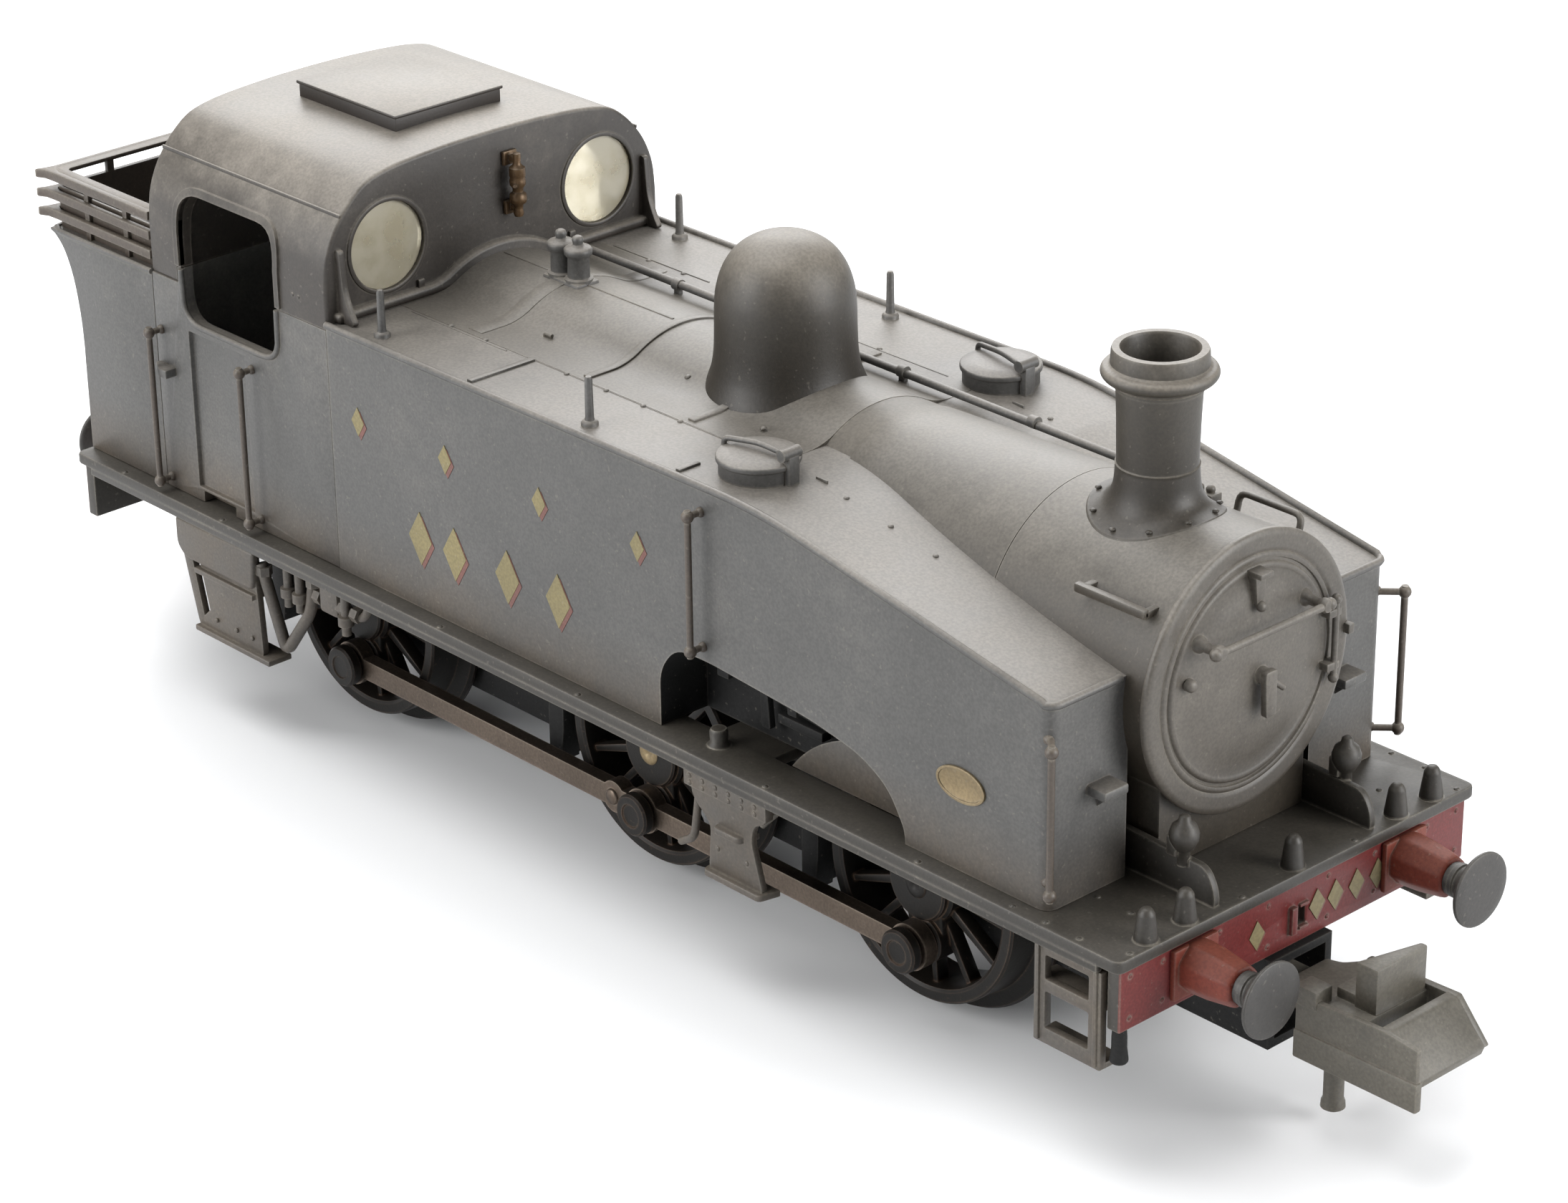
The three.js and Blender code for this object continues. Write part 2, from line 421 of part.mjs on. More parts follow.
function chassisSide() {
  const x = AXLE_X.middle;
  let block = join(box(-24, 24, -3.2, -0.2, 3.4, 8.7), box(-12.9, 5.6, -3.4, -0.2, 8.5, 9.95),
    box(5.5, 19.5, -3.4, -0.2, 8.5, 11.1), box(5.5, 7.2, -3.4, -0.2, 8.5, 14.6));
  block = cut(block, axles.map((at) => box(at - 1.25, at + 1.25, -4, 1, 3, 6.8)));
  return cut(block, box(x - 2.5, x + 2.5, -1.05, 1, 3, 12.5), disc('y', 0.45, -2.4, 1, x, IDLER_Z, 12),
    disc('x', 0.42, 5, 8, 0, MOTOR.z, 12), disc('x', MOTOR.r + 0.05, -20, 0, 0, MOTOR.z, 32));
}
pair('chassis_block', chassisSide(), mats.diecast);

// The keeper closes the axle slots, carries the brake blocks and ends in a pocket for each coupler.
function keeper() {
  let plate = join(box(-26.4, 26.4, -2.9, 2.9, 2.6, 3.37));
  for (const s of [1, -1]) {
    const a = Math.min(s * 26.2, s * 31), b = Math.max(s * 26.2, s * 31);
    const inside = [Math.min(s * 26.55, s * 32), Math.max(s * 26.55, s * 32)];
    plate = join(plate, box(a, b, -1.65, 1.65, 2.6, 6.2));
    plate = cut(plate, box(...inside, -1.3, 1.3, 2.95, 5.85));
  }
  plate = cut(plate, box(AXLE_X.middle - 2.3, AXLE_X.middle + 2.3, -1.1, 1.1, 3.2, 4));
  for (const x of axles) {
    const bar = box(x - 6.6, x - 6.2, -5.4, 5.4, 2.75, 3.2);
    const block = prism('xz', [[x - 6.7, 2.75], [x - 6.0, 2.75], [x - 5.8, 4.2], [x - 5.75, 6.0], [x - 6.4, 6.4],
      [x - 6.7, 5.0]], -5.4, -4.45);
    plate = join(plate, bar, bothSides(block));
  }
  return plate;
}
put(model, 'keeper_plate', keeper(), mats.black);

const { z: mz, r: mr, x0: mx0, x1: mx1 } = MOTOR;
const canProfile = [[0.5, mx0], [mr, mx0], [mr, mx1], [0.5, mx1], [0.5, mx1 - 0.6], [mr - 0.5, mx1 - 0.6],
  [mr - 0.5, mx0 + 0.6], [0.5, mx0 + 0.6], [0.5, mx0]];
put(model, 'motor_can', turned('x', canProfile, 0, mz, 20), mats.motor);
put(model, 'motor_armature', turned('x', [[0, mx0 - 0.55], [0.4, mx0 - 0.55], [0.4, mx0 + 1], [2.2, mx0 + 1],
  [2.2, mx1 - 1], [0.4, mx1 - 1], [0.4, 0.4], [1.1, 0.4], [1.1, 4.6], [0.38, 4.6], [0.38, 7], [0, 7]],
  0, mz, 12), mats.brass);
put(model, 'idler_gear', turned('y', [[0, -2.2], [0.4, -2.2], [0.4, -0.8], [2.25, -0.8], [2.25, 0.8], [0.4, 0.8],
  [0.4, 2.2], [0, 2.2]], AXLE_X.middle, IDLER_Z, 18), mats.nylon);

// ---- wheelsets and rods ----

function wheel(crank) {
  const { back, flange, face } = WHEEL_Y;
  const y = (v) => -v;
  const tyre = turned('y', [[4.0, y(back)], [4.0, y(face)], [TREAD_R, y(face)], [TREAD_R, y(flange)],
    [FLANGE_R, y(flange - 0.15)], [FLANGE_R, y(back)], [4.0, y(back)]], 0, 0, 24);
  const hub = turned('y', [[0, y(3.6)], [1.25, y(3.6)], [1.25, y(4.45)], [1.75, y(4.45)], [1.75, y(face - 0.05)],
    [0, y(face + 0.08)]], 0, 0, 12);
  const spokes = [...Array(10)].map((_, i) => solid(new THREE.BoxGeometry(4.0, 0.7, 0.36).translate(2.3, -4.9, 0)
    .rotateY((i * Math.PI) / 5 + 0.13)));
  const web = disc('y', 1.15, y(face + 0.2), y(4.5), crank[0], crank[1], 10);
  const pin = turned('y', [[0, y(5)], [PIN_R, y(5)], [PIN_R, y(6.7)], [0.88, y(6.7)], [0.88, y(7.23)], [0, y(7.23)]],
    crank[0], crank[1], 10);
  return join(tyre, hub, spokes, web, pin);
}
// The left-hand crank leads the right-hand one by a quarter turn.
const cranks = { right: [CRANK.x, CRANK.z], left: [CRANK.z, -CRANK.x] };
const wheels = { right: wheel(cranks.right), left: mirrored(wheel(cranks.left)) };

for (const [place, x] of Object.entries(AXLE_X)) {
  const set = new THREE.Group();
  set.position.set(x, 0, AXLE_Z);
  model.add(set);
  const gear = place === 'middle' ? [[1.2, -0.8], [1.95, -0.8], [1.95, 0.8], [1.2, 0.8]] : [];
  put(set, `axle_${place}`, turned('y', [[0, -3.55], [1.2, -3.55], ...gear, [1.2, 3.55], [0, 3.55]], 0, 0, 16),
    mats.nylon);
  for (const side of ['right', 'left']) put(set, `wheel_${place}_${side}`, wheels[side], mats.wheel);
}

function couplingRod([cx, cz]) {
  const at = axles.map((x) => x + cx), z = AXLE_Z + cz, [y0, y1] = [-ROD_Y[1], -ROD_Y[0]];
  const bar = box(at[2], at[0], y0, y1, z - 0.55, z + 0.55);
  const eyes = at.map((x) => disc('y', 1.0, y0, y1, x, z, 12));
  const knuckle = disc('y', 0.72, y0, y1, at[1] - 1.7, z, 12);
  const bores = at.map((x) => disc('y', PIN_R + 0.05, y0 - 1, y1 + 1, x, z, 12));
  return cut(join(bar, eyes, knuckle), bores);
}
put(model, 'coupling_rod_right', couplingRod(cranks.right), mats.steel);
put(model, 'coupling_rod_left', mirrored(couplingRod(cranks.left)), mats.steel);

// ---- couplers: each swings sideways on its spring block and lifts on the block's cross pin ----

function couplerArm() {
  const shank = box(27.78, 32.6, -0.55, 0.55, 4.15, 5.15);
  const neck = prism('xy', [[31.4, -0.9], [32.0, -1.1], [32.6, -2.1], [35.35, -2.1], [35.35, 2.1], [32.6, 2.1],
    [32.0, 1.1], [31.4, 0.9]], 4.3, 5.55);
  const cheekRight = prism('xz', [[32.5, 3.2], [38.1, 3.25], [38.1, 5.7], [36.5, 5.88], [32.5, 5.7]], -2.1, -1.75);
  const cheekLeft = prism('xz', [[32.5, 3.9], [37.3, 3.95], [37.95, 4.25], [36.6, 5.8], [32.5, 5.65]], 1.75, 2.1);
  const lip = prism('xz', [[36.2, 5.85], [36.6, 5.8], [38.0, 4.35], [37.85, 3.95], [37.5, 4.1], [36.2, 5.35]],
    -1.8, 1.8);
  const block = box(32.5, 33.5, -2.1, -1.2, 5.4, 6.15);
  const hook = prism('xy', [[34.3, -1.0], [35.3, -1.0], [35.3, 1.7], [35.0, 1.7]], 5.4, 7.35);
  const trip = turned('z', [[0, 0.55], [0.46, 0.55], [0.4, 0.9], [0.4, 4.5], [0, 4.5]], 33.0, -0.3, 10);
  return join(shank, neck, cheekRight, cheekLeft, lip, block, hook, trip);
}
for (const [end, turn] of [['front', 0], ['rear', Math.PI]]) {
  const group = new THREE.Group();
  group.rotation.z = turn;
  model.add(group);
  put(group, `coupler_spring_${end}`, box(SWING_X - 0.36, SWING_X + 0.36, -0.9, 0.9, 3.3, 5.5), mats.steel);
  put(group, `coupler_${end}`, couplerArm(), mats.coupler);
}

export default model;
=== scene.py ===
# %% [markdown]
# A small tank locomotive in N gauge, 76 mm long over its couplers. The measured model
# comes first, as a fixed frame, and each outside piece is then shaped over it and painted.
# Lengths below are written in millimetres, as on a maker's drawing, and turned into
# Blender's metres in one place. +X is the chimney end, +Y the left side and +Z is up.

# %% Load the frame
import json
import math
import random

import bpy
from mathutils import Matrix, Vector


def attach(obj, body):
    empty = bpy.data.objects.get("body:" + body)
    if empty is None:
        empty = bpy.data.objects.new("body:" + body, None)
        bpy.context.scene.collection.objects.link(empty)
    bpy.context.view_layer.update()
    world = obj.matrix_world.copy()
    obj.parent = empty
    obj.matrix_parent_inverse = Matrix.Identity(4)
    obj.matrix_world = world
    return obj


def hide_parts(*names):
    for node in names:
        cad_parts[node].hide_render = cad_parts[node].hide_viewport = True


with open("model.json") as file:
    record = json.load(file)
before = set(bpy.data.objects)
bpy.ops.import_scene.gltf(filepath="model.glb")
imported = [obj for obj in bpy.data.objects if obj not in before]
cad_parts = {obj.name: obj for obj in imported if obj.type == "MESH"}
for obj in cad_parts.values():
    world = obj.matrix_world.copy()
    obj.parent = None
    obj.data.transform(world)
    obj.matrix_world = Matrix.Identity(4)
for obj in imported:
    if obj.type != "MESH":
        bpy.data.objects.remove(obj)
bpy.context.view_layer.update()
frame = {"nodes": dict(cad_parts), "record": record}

# %% [markdown]
# Every modelling operator works on whatever is selected, so each piece starts with an
# empty selection. These helpers are the bench tools for the whole lesson. The first ones
# start a piece and step into edit mode, where the mesh operators work.

# %% Bench tools: starting a piece
MM = 0.001
WELD = 2e-6
PLANES = {"xy": (0, 1, 2), "xz": (0, 2, 1), "yz": (1, 2, 0)}
LINES = {"x": (0, 1, 2), "y": (1, 0, 2), "z": (2, 0, 1)}


def clear():
    bpy.ops.object.select_all(action="DESELECT")


def started(name):
    piece = bpy.context.object
    piece.name = piece.data.name = name
    return piece


def edit(piece, *steps):
    """Edit mode on one piece, everything selected, one step after another."""
    clear()
    piece.select_set(True)
    bpy.context.view_layer.objects.active = piece
    bpy.ops.object.mode_set(mode="EDIT")
    bpy.ops.mesh.select_mode(type="VERT")
    bpy.ops.mesh.select_all(action="SELECT")
    for step in steps:
        step()
    bpy.ops.object.mode_set(mode="OBJECT")


def face_out():
    bpy.ops.mesh.select_all(action="SELECT")
    bpy.ops.mesh.normals_make_consistent(inside=False)


print("one millimetre is", MM, "of Blender's metres")

# %% [markdown]
# A modifier shapes a whole piece by rule: Bevel rounds its edges and Boolean cuts one piece
# with another. Each is applied at once, because the finished piece has to be plain mesh.

# %% Bench tools: rounding and cutting
def applied(piece, kind, **settings):
    """A modifier put on a piece and applied at once."""
    clear()
    piece.select_set(True)
    bpy.context.view_layer.objects.active = piece
    modifier = piece.modifiers.new(kind.lower(), kind)
    for key, value in settings.items():
        setattr(modifier, key, value)
    bpy.ops.object.modifier_apply(modifier=modifier.name)
    return piece


def smooth(piece, angle=34):
    clear()
    piece.select_set(True)
    bpy.context.view_layer.objects.active = piece
    bpy.ops.object.shade_smooth_by_angle(angle=math.radians(angle))
    return piece


def soften(piece, width, segments=2, angle=34):
    """Rounds the edges of a moulded piece: real paint never ends on a knife edge."""
    applied(piece, "BEVEL", width=width * MM, segments=segments, limit_method="ANGLE",
            angle_limit=math.radians(angle), miter_outer="MITER_ARC")
    return smooth(piece, 40)


def cut(piece, *cutters, operation="DIFFERENCE"):
    """Cutters are taken away, or united or kept in common, and then thrown away."""
    for cutter in cutters:
        applied(piece, "BOOLEAN", operation=operation, object=cutter, solver="EXACT")
        bpy.data.objects.remove(cutter)
    return piece


print("edges are rounded where they bend more than", 34, "degrees")

# %% [markdown]
# What repeats is modelled once and copied, each copy with its own mesh. The left side
# mirrors the right. A mirror turns a shape inside out, so its faces are turned back.

# %% Bench tools: joining and copying
def joined(name, *pieces):
    clear()
    for piece in pieces:
        piece.select_set(True)
    bpy.context.view_layer.objects.active = pieces[0]
    if len(pieces) > 1:
        bpy.ops.object.join()
    return started(name)


def moved(place):
    """The move to a place given in millimetres."""
    return Matrix.Translation(Vector(place) * MM)


def copied(piece, name, shift=(0, 0, 0)):
    """A copy with a mesh of its own, moved in the mesh and not by its object."""
    clear()
    piece.select_set(True)
    bpy.context.view_layer.objects.active = piece
    bpy.ops.object.duplicate(linked=False)
    made = started(name)
    if any(shift):
        made.data.transform(moved(shift))
    return made


def other_side(piece, name):
    """The same piece for the left-hand side."""
    made = copied(piece, name)
    made.data.transform(Matrix.Scale(-1, 4, (0, 1, 0)))
    edit(made, lambda: bpy.ops.mesh.flip_normals())
    return made


def other_end(piece, name):
    made = copied(piece, name)
    made.data.transform(Matrix.Rotation(math.pi, 4, "Z"))
    return made


print("planes:", *PLANES, "and lines:", *LINES)

# %% [markdown]
# Most parts of an engine are plate or turned work. A plate starts as a disc with as many
# corners as its outline has, and a turned part as half its outline, spun round a line.

# %% Bench tools: plates and turned parts
def slab(name, plane, outline, a, b):
    """A disc with as many corners as the outline, its corners moved there and pulled thick."""
    clear()
    bpy.ops.mesh.primitive_circle_add(vertices=len(outline), radius=MM, fill_type="NGON")
    piece = started(name)
    u, v, w = PLANES[plane]
    for corner, (p, q) in zip(piece.data.vertices, outline):
        place = [0, 0, 0]
        place[u], place[v], place[w] = p * MM, q * MM, a * MM
        corner.co = place
    pull = [0, 0, 0]
    pull[w] = (b - a) * MM
    edit(piece, lambda: bpy.ops.mesh.extrude_region_move(TRANSFORM_OT_translate={"value": pull}), face_out)
    return piece


def turned(name, line, outline, u=0, v=0, sides=48, closed=False):
    """Half an outline of (radius, height) corners, spun about a line, as on a lathe."""
    clear()
    bpy.ops.mesh.primitive_circle_add(vertices=len(outline), radius=MM, fill_type="NOTHING")
    piece = started(name)
    w, a, b = LINES[line]
    centre, axis = [0, 0, 0], [0, 0, 0]
    centre[a], centre[b], axis[w] = u * MM, v * MM, 1
    for corner, (r, h) in zip(piece.data.vertices, outline):
        place = list(centre)
        place[w], place[a] = h * MM, centre[a] + r * MM
        corner.co = place
    if not closed:
        edit(piece, lambda: bpy.ops.mesh.select_all(action="DESELECT"))
        piece.data.vertices[0].select = piece.data.vertices[-1].select = True
        bpy.ops.object.mode_set(mode="EDIT")
        bpy.ops.mesh.delete(type="EDGE")
        bpy.ops.object.mode_set(mode="OBJECT")
    edit(piece,
         lambda: bpy.ops.mesh.spin(steps=sides, angle=2 * math.pi, center=centre, axis=axis),
         lambda: bpy.ops.mesh.select_all(action="SELECT"),
         lambda: bpy.ops.mesh.remove_doubles(threshold=WELD), face_out)
    return smooth(piece, 50)


def disc(name, line, r, a, b, u=0, v=0, sides=48):
    return turned(name, line, [(0, a), (r, a), (r, b), (0, b)], u, v, sides)


print("turned parts have 48 sides unless told otherwise")

# %% [markdown]
# Blocks, wires and balls are for the small fittings. A block is a cube moved to its place
# in its mesh, so that its object stays at the origin, and a wire is a curve with thickness
# turned into a mesh.

# %% Bench tools: blocks, wires and balls
def block(name, x0, x1, y0, y1, z0, z1, round_off=0):
    clear()
    bpy.ops.mesh.primitive_cube_add(size=1)
    piece = started(name)
    size = Matrix.Diagonal(((x1 - x0) * MM, (y1 - y0) * MM, (z1 - z0) * MM, 1))
    middle = Vector(((x0 + x1) / 2, (y0 + y1) / 2, (z0 + z1) / 2)) * MM
    piece.data.transform(Matrix.Translation(middle) @ size)
    return soften(piece, round_off) if round_off else piece


def wire(name, points, r, sides=3):
    """A round wire through a list of points, filled at its ends."""
    clear()
    bpy.ops.curve.primitive_nurbs_path_add()
    path = bpy.context.object
    path.data.splines.clear()
    line = path.data.splines.new("POLY")
    line.points.add(len(points) - 1)
    for spot, (x, y, z) in zip(line.points, points):
        spot.co = (x * MM, y * MM, z * MM, 1)
    path.data.bevel_depth = r * MM
    path.data.bevel_resolution = sides
    path.data.use_fill_caps = True
    bpy.ops.object.convert(target="MESH")
    piece = started(name)
    edit(piece, lambda: bpy.ops.mesh.remove_doubles(threshold=WELD), face_out)
    return smooth(piece, 50)


def ball(name, x, y, z, r, segments=14, rings=8):
    clear()
    bpy.ops.mesh.primitive_uv_sphere_add(segments=segments, ring_count=rings, radius=r * MM,
                                         location=(x * MM, y * MM, z * MM))
    piece = started(name)
    bpy.ops.object.transform_apply(location=True, rotation=True, scale=True)
    return smooth(piece, 60)


print("balls have 14 sides and 8 rings unless told otherwise")

# %% [markdown]
# Real outlines are seldom straight lines from corner to corner. One helper rounds the
# corners of an outline and the other runs a smooth curve through all its points.

# %% Bench tools: smooth outlines
def eased(points, radius, steps=5):
    """An outline or path with each inner corner rounded to about one radius."""
    made = [Vector(points[0])]
    for before, at, after in zip(points, points[1:], points[2:]):
        before, at, after = Vector(before), Vector(at), Vector(after)
        r = min(radius, (before - at).length * 0.45, (after - at).length * 0.45)
        start, end = at + (before - at).normalized() * r, at + (after - at).normalized() * r
        for k in range(steps + 1):
            t = k / steps
            made.append(start * (1 - t) ** 2 + at * 2 * t * (1 - t) + end * t * t)
    made.append(Vector(points[-1]))
    return [tuple(p) for p in made]


def flowing(points, steps=4):
    """A smooth curve through every point."""
    p = [Vector(points[0])] + [Vector(q) for q in points] + [Vector(points[-1])]
    made = []
    for k in range(1, len(p) - 2):
        for s in range(steps):
            t = s / steps
            a, b, c, d = p[k - 1], p[k], p[k + 1], p[k + 2]
            made.append(0.5 * (2 * b + (c - a) * t + (2 * a - 5 * b + 4 * c - d) * t * t
                               + (3 * b - a - 3 * c + d) * t ** 3))
    made.append(p[-1])
    return [tuple(q) for q in made]


print("a corner rounded by 1 mm:", len(eased([(0, 0), (5, 0), (5, 5)], 1)), "points")

# %% [markdown]
# Rivets and bolts give a model its scale. One low domed head is modelled and copied.

# %% Bench tools: rivets
def rivets(name, places, direction, r=0.13):
    """One low domed head, modelled once and copied to every place in a row."""
    clear()
    bpy.ops.mesh.primitive_uv_sphere_add(segments=8, ring_count=6, radius=r * MM)
    head = started(name)
    head.data.transform(Matrix.Diagonal((1, 1, 0.55, 1)))
    turn = Vector(direction).to_track_quat("Z", "Y").to_matrix().to_4x4()
    head.data.transform(turn)
    smooth(head, 80)
    row = [copied(head, name, place) for place in places]
    bpy.data.objects.remove(head)
    return joined(name, *row)


print("rivet heads are 0.26 mm across unless told otherwise")

# %% [markdown]
# The running plate is a flat plate with room cut in it for the wheels, an angle under its
# edge, and the small castings that stand on its front end. A plate pulled from an outline
# and cut with blocks gives crisp, straight edges, and a small bevel softens them after.

# %% Running plate
AXLES = {"front": 17.4, "middle": 2.47, "rear": -16.06}
AXLE_Z = 5.55
BODY_Y = 8.745
PLATE_LOW, PLATE_TOP = 8.72, 9.23
GLOBE_Y = 4.3
made = {}


def running_plate():
    outline = eased([(-29, -9.52), (30.95, -9.52), (30.95, 9.52), (-30.9, 9.52), (-30.9, -9.52),
                     (-29, -9.52)], 0.35, 3)
    plate = slab("running_plate", "xy", outline[:-1], PLATE_LOW, PLATE_TOP)
    openings = [block("opening", -23.5, 19.8, -3.5, 3.5, 8, 10)]
    for x in AXLES.values():
        openings += [block("opening", x - 5.9, x + 5.9, s - 2.025, s + 2.025, 8, 10) for s in (-5.425, 5.425)]
    cut(plate, *openings)
    soften(plate, 0.09)
    angles = [block("angle", -29.9, 29.9, s * 9.35 - 0.15, s * 9.35 + 0.15, 8.42, 8.8, 0.05) for s in (-1, 1)]
    nose = eased([(24.9, 9.1), (30.6, 9.1), (30.55, 9.9), (30.1, 10.65), (24.9, 10.85), (24.9, 9.2)], 0.8, 6)
    gussets = [soften(slab("gusset", "xz", nose, s * 4.15 - 0.15, s * 4.15 + 0.15), 0.06) for s in (-1, 1)]
    profile = flowing([(0, 9.1), (0.42, 9.12), (0.4, 9.6), (0.33, 10.1), (0.3, 10.28), (0.17, 10.47), (0, 10.5)], 3)
    pegs = [turned("peg", "z", profile, 30.42, y, 20) for y in (-7.6, -5.62, 0, 5.62, 7.6)]
    globe = [(0, 10.4), (0.24, 10.4), (0.22, 10.95), (0.36, 11.08), (0.53, 11.4), (0.55, 11.65), (0.45, 11.95),
             (0.24, 12.12), (0.2, 12.3), (0.1, 12.37), (0, 12.37)]
    globes = [turned("globe", "z", globe, 29.1, s * GLOBE_Y, 24) for s in (-1, 1)]
    feet = [block("foot", 28.55, 29.0, s * GLOBE_Y - 0.35, s * GLOBE_Y + 0.35, 10.75, 11.5, 0.06)
            for s in (-1, 1)]
    pot = [(0, 9.1), (0.44, 9.1), (0.44, 9.3), (0.34, 9.4), (0.36, 9.8), (0.3, 9.93), (0, 9.95)]
    pots = [turned("oil_pot", "z", pot, 9.3, s * 8.25, 20) for s in (-1, 1)]
    heads = [(x, y, PLATE_TOP) for x in (25.6, 27.2, 28.8) for y in (-9.2, -6.6, 6.6, 9.2)]
    heads += [(x, s * 9.3, PLATE_TOP) for x in (-27.5, -20.5, -6, 2.4, 13, 21) for s in (-1, 1)]
    heads += [(30.7, y, PLATE_TOP) for y in (-8.7, -3, 3, 8.7)]
    return joined("running_plate", plate, *angles, *gussets, *pegs, *globes, *feet, *pots,
                  rivets("plate_rivets", heads, (0, 0, 1), 0.12))


made["running_plate"] = (running_plate(), "plate", "locomotive", ["footplate"])
print("running plate:", len(made["running_plate"][0].data.polygons), "faces")

# %% [markdown]
# The buffer beams are painted boards with a slot for the drawhook and rows of bolts. A
# block cut by a smaller block gives a clean slot.

# %% Buffer beams
BEAM_BACK, BEAM_FACE = 30.15, 30.75
BUFFER_Y, BUFFER_Z = 5.6, 7.7


def front_beam():
    board = block("beam", BEAM_BACK, BEAM_FACE, -9.2, 9.2, 6.25, 8.7)
    cut(board, block("hook_slot", 30.4, 30.8, 0.05, 0.45, 6.9, 7.7))
    soften(board, 0.07)
    plate = block("slot_plate", 30.7, 30.95, -0.5, -0.2, 6.75, 7.85, 0.05)
    lips = [block("slot_lip", 30.7, 30.86, 0.02, 0.5, z, z + 0.12, 0.03) for z in (6.78, 7.7)]
    bolts = [(BEAM_FACE, y + dy, z) for y in (-BUFFER_Y, BUFFER_Y) for dy in (-1.45, 1.45) for z in (6.75, 8.3)]
    bolts += [(BEAM_FACE, y, z) for y in (-8.7, 8.7, -1.6, 1.6) for z in (6.7, 8.35)]
    return joined("beam_front", board, plate, *lips, rivets("bolts", bolts, (1, 0, 0), 0.1))


def rear_beam():
    board = block("beam", -BEAM_FACE, -BEAM_BACK, -9.2, 9.2, 6.25, 8.7)
    cut(board, block("hook_slot", -30.8, -30.4, -0.2, 0.2, 6.9, 7.7))
    soften(board, 0.07)
    bolts = [(-BEAM_FACE, y, z) for y in (-8.7, 8.7, -7.1, -4.1, 4.1, 7.1, -1.4, 1.4) for z in (6.7, 8.35)]
    return joined("beam_rear", board, rivets("bolts", bolts, (-1, 0, 0), 0.1))


made["beam_front"] = (front_beam(), "crimson", "locomotive", ["buffer_beam_front"])
made["beam_rear"] = (rear_beam(), "crimson", "locomotive", ["buffer_beam_rear"])
print("front beam:", len(made["beam_front"][0].data.polygons), "faces")

# %% [markdown]
# Each buffer is a square flange, an eight-sided tapered housing, a thinner ram and a broad,
# slightly domed head, all turned parts except the flange. The housing and the ram have
# finishes of their own, so they are two pieces. One buffer is made, and four are copied.

# %% Buffers
def buffer():
    root, face = 30.77, 34.56
    flange = block("flange", root, root + 0.25, -1.13, 1.13, -1.1, 0.91, 0.08)
    cone = [(0, root), (0.98, root), (1.03, root + 0.45), (1.0, root + 1.1), (0.86, root + 2.15),
            (0.8, root + 2.4), (0, root + 2.45)]
    housing = turned("housing", "x", cone, sides=8)
    housing.data.transform(Matrix.Rotation(math.pi / 8, 4, "X"))
    soften(housing, 0.1, 3, 30)
    ram = [(0, root + 1), (0.62, root + 1), (0.62, root + 2.6), (0.66, root + 2.62), (0.66, root + 2.8),
           (0.6, root + 2.85), (0.6, face - 0.85)]
    head = eased([(0.6, face - 0.85), (0.8, face - 0.55), (1.36, face - 0.28), (1.45, face - 0.2),
                  (1.45, face - 0.08), (1.1, face - 0.02), (0, face)], 0.12, 3)
    return joined("housing", flange, housing), turned("ram", "x", ram + head[1:], sides=40)


housing, ram = buffer()
for end in ("front", "rear"):
    for side, y in (("right", -BUFFER_Y), ("left", BUFFER_Y)):
        for piece, kind, slot in ((housing, "housing", "red"), (ram, "ram", "rail")):
            name = f"buffer_{kind}_{end}_{side}"
            one = other_end(piece, name) if end == "rear" else copied(piece, name)
            one.data.transform(moved((0, y, BUFFER_Z)))
            made[name] = (one, slot, "locomotive", [f"buffer_{end}_{side}"])
bpy.data.objects.remove(housing)
bpy.data.objects.remove(ram)
print("pieces so far:", len(made))

# %% [markdown]
# The boiler's sheet carries raised bands and curves out into the tank tops, so a fillet of
# three millimetres fills the corner there. Its line is worked out once and used for the
# fillet, for each band and later for the cab's moulding, each lifted by its own height.

# %% Boiler
BARREL_Z = 16
BOILER_R = 4.8
TANK_Z = 19.85


def over_boiler(radius, rise, ends):
    """The line across the boiler and its fillets to the tank tops, lifted by rise."""
    r, hollow = radius + rise, 3 - rise
    top = TANK_Z + rise - BARREL_Z
    y = math.sqrt((r + hollow) ** 2 - (top + hollow) ** 2)
    foot = math.atan2(top + hollow, y)
    line = [(-ends, TANK_Z + rise)]
    line += [(-y + hollow * math.cos(a), BARREL_Z + top + hollow + hollow * math.sin(a))
             for a in [-math.pi / 2 + k / 8 * (math.pi / 2 - foot) for k in range(9)]]
    line += [(-r * math.cos(a), BARREL_Z + r * math.sin(a))
             for a in [foot + k / 20 * (math.pi / 2 - foot) for k in range(1, 21)]]
    return line + [(-p, q) for p, q in reversed(line[:-1])]


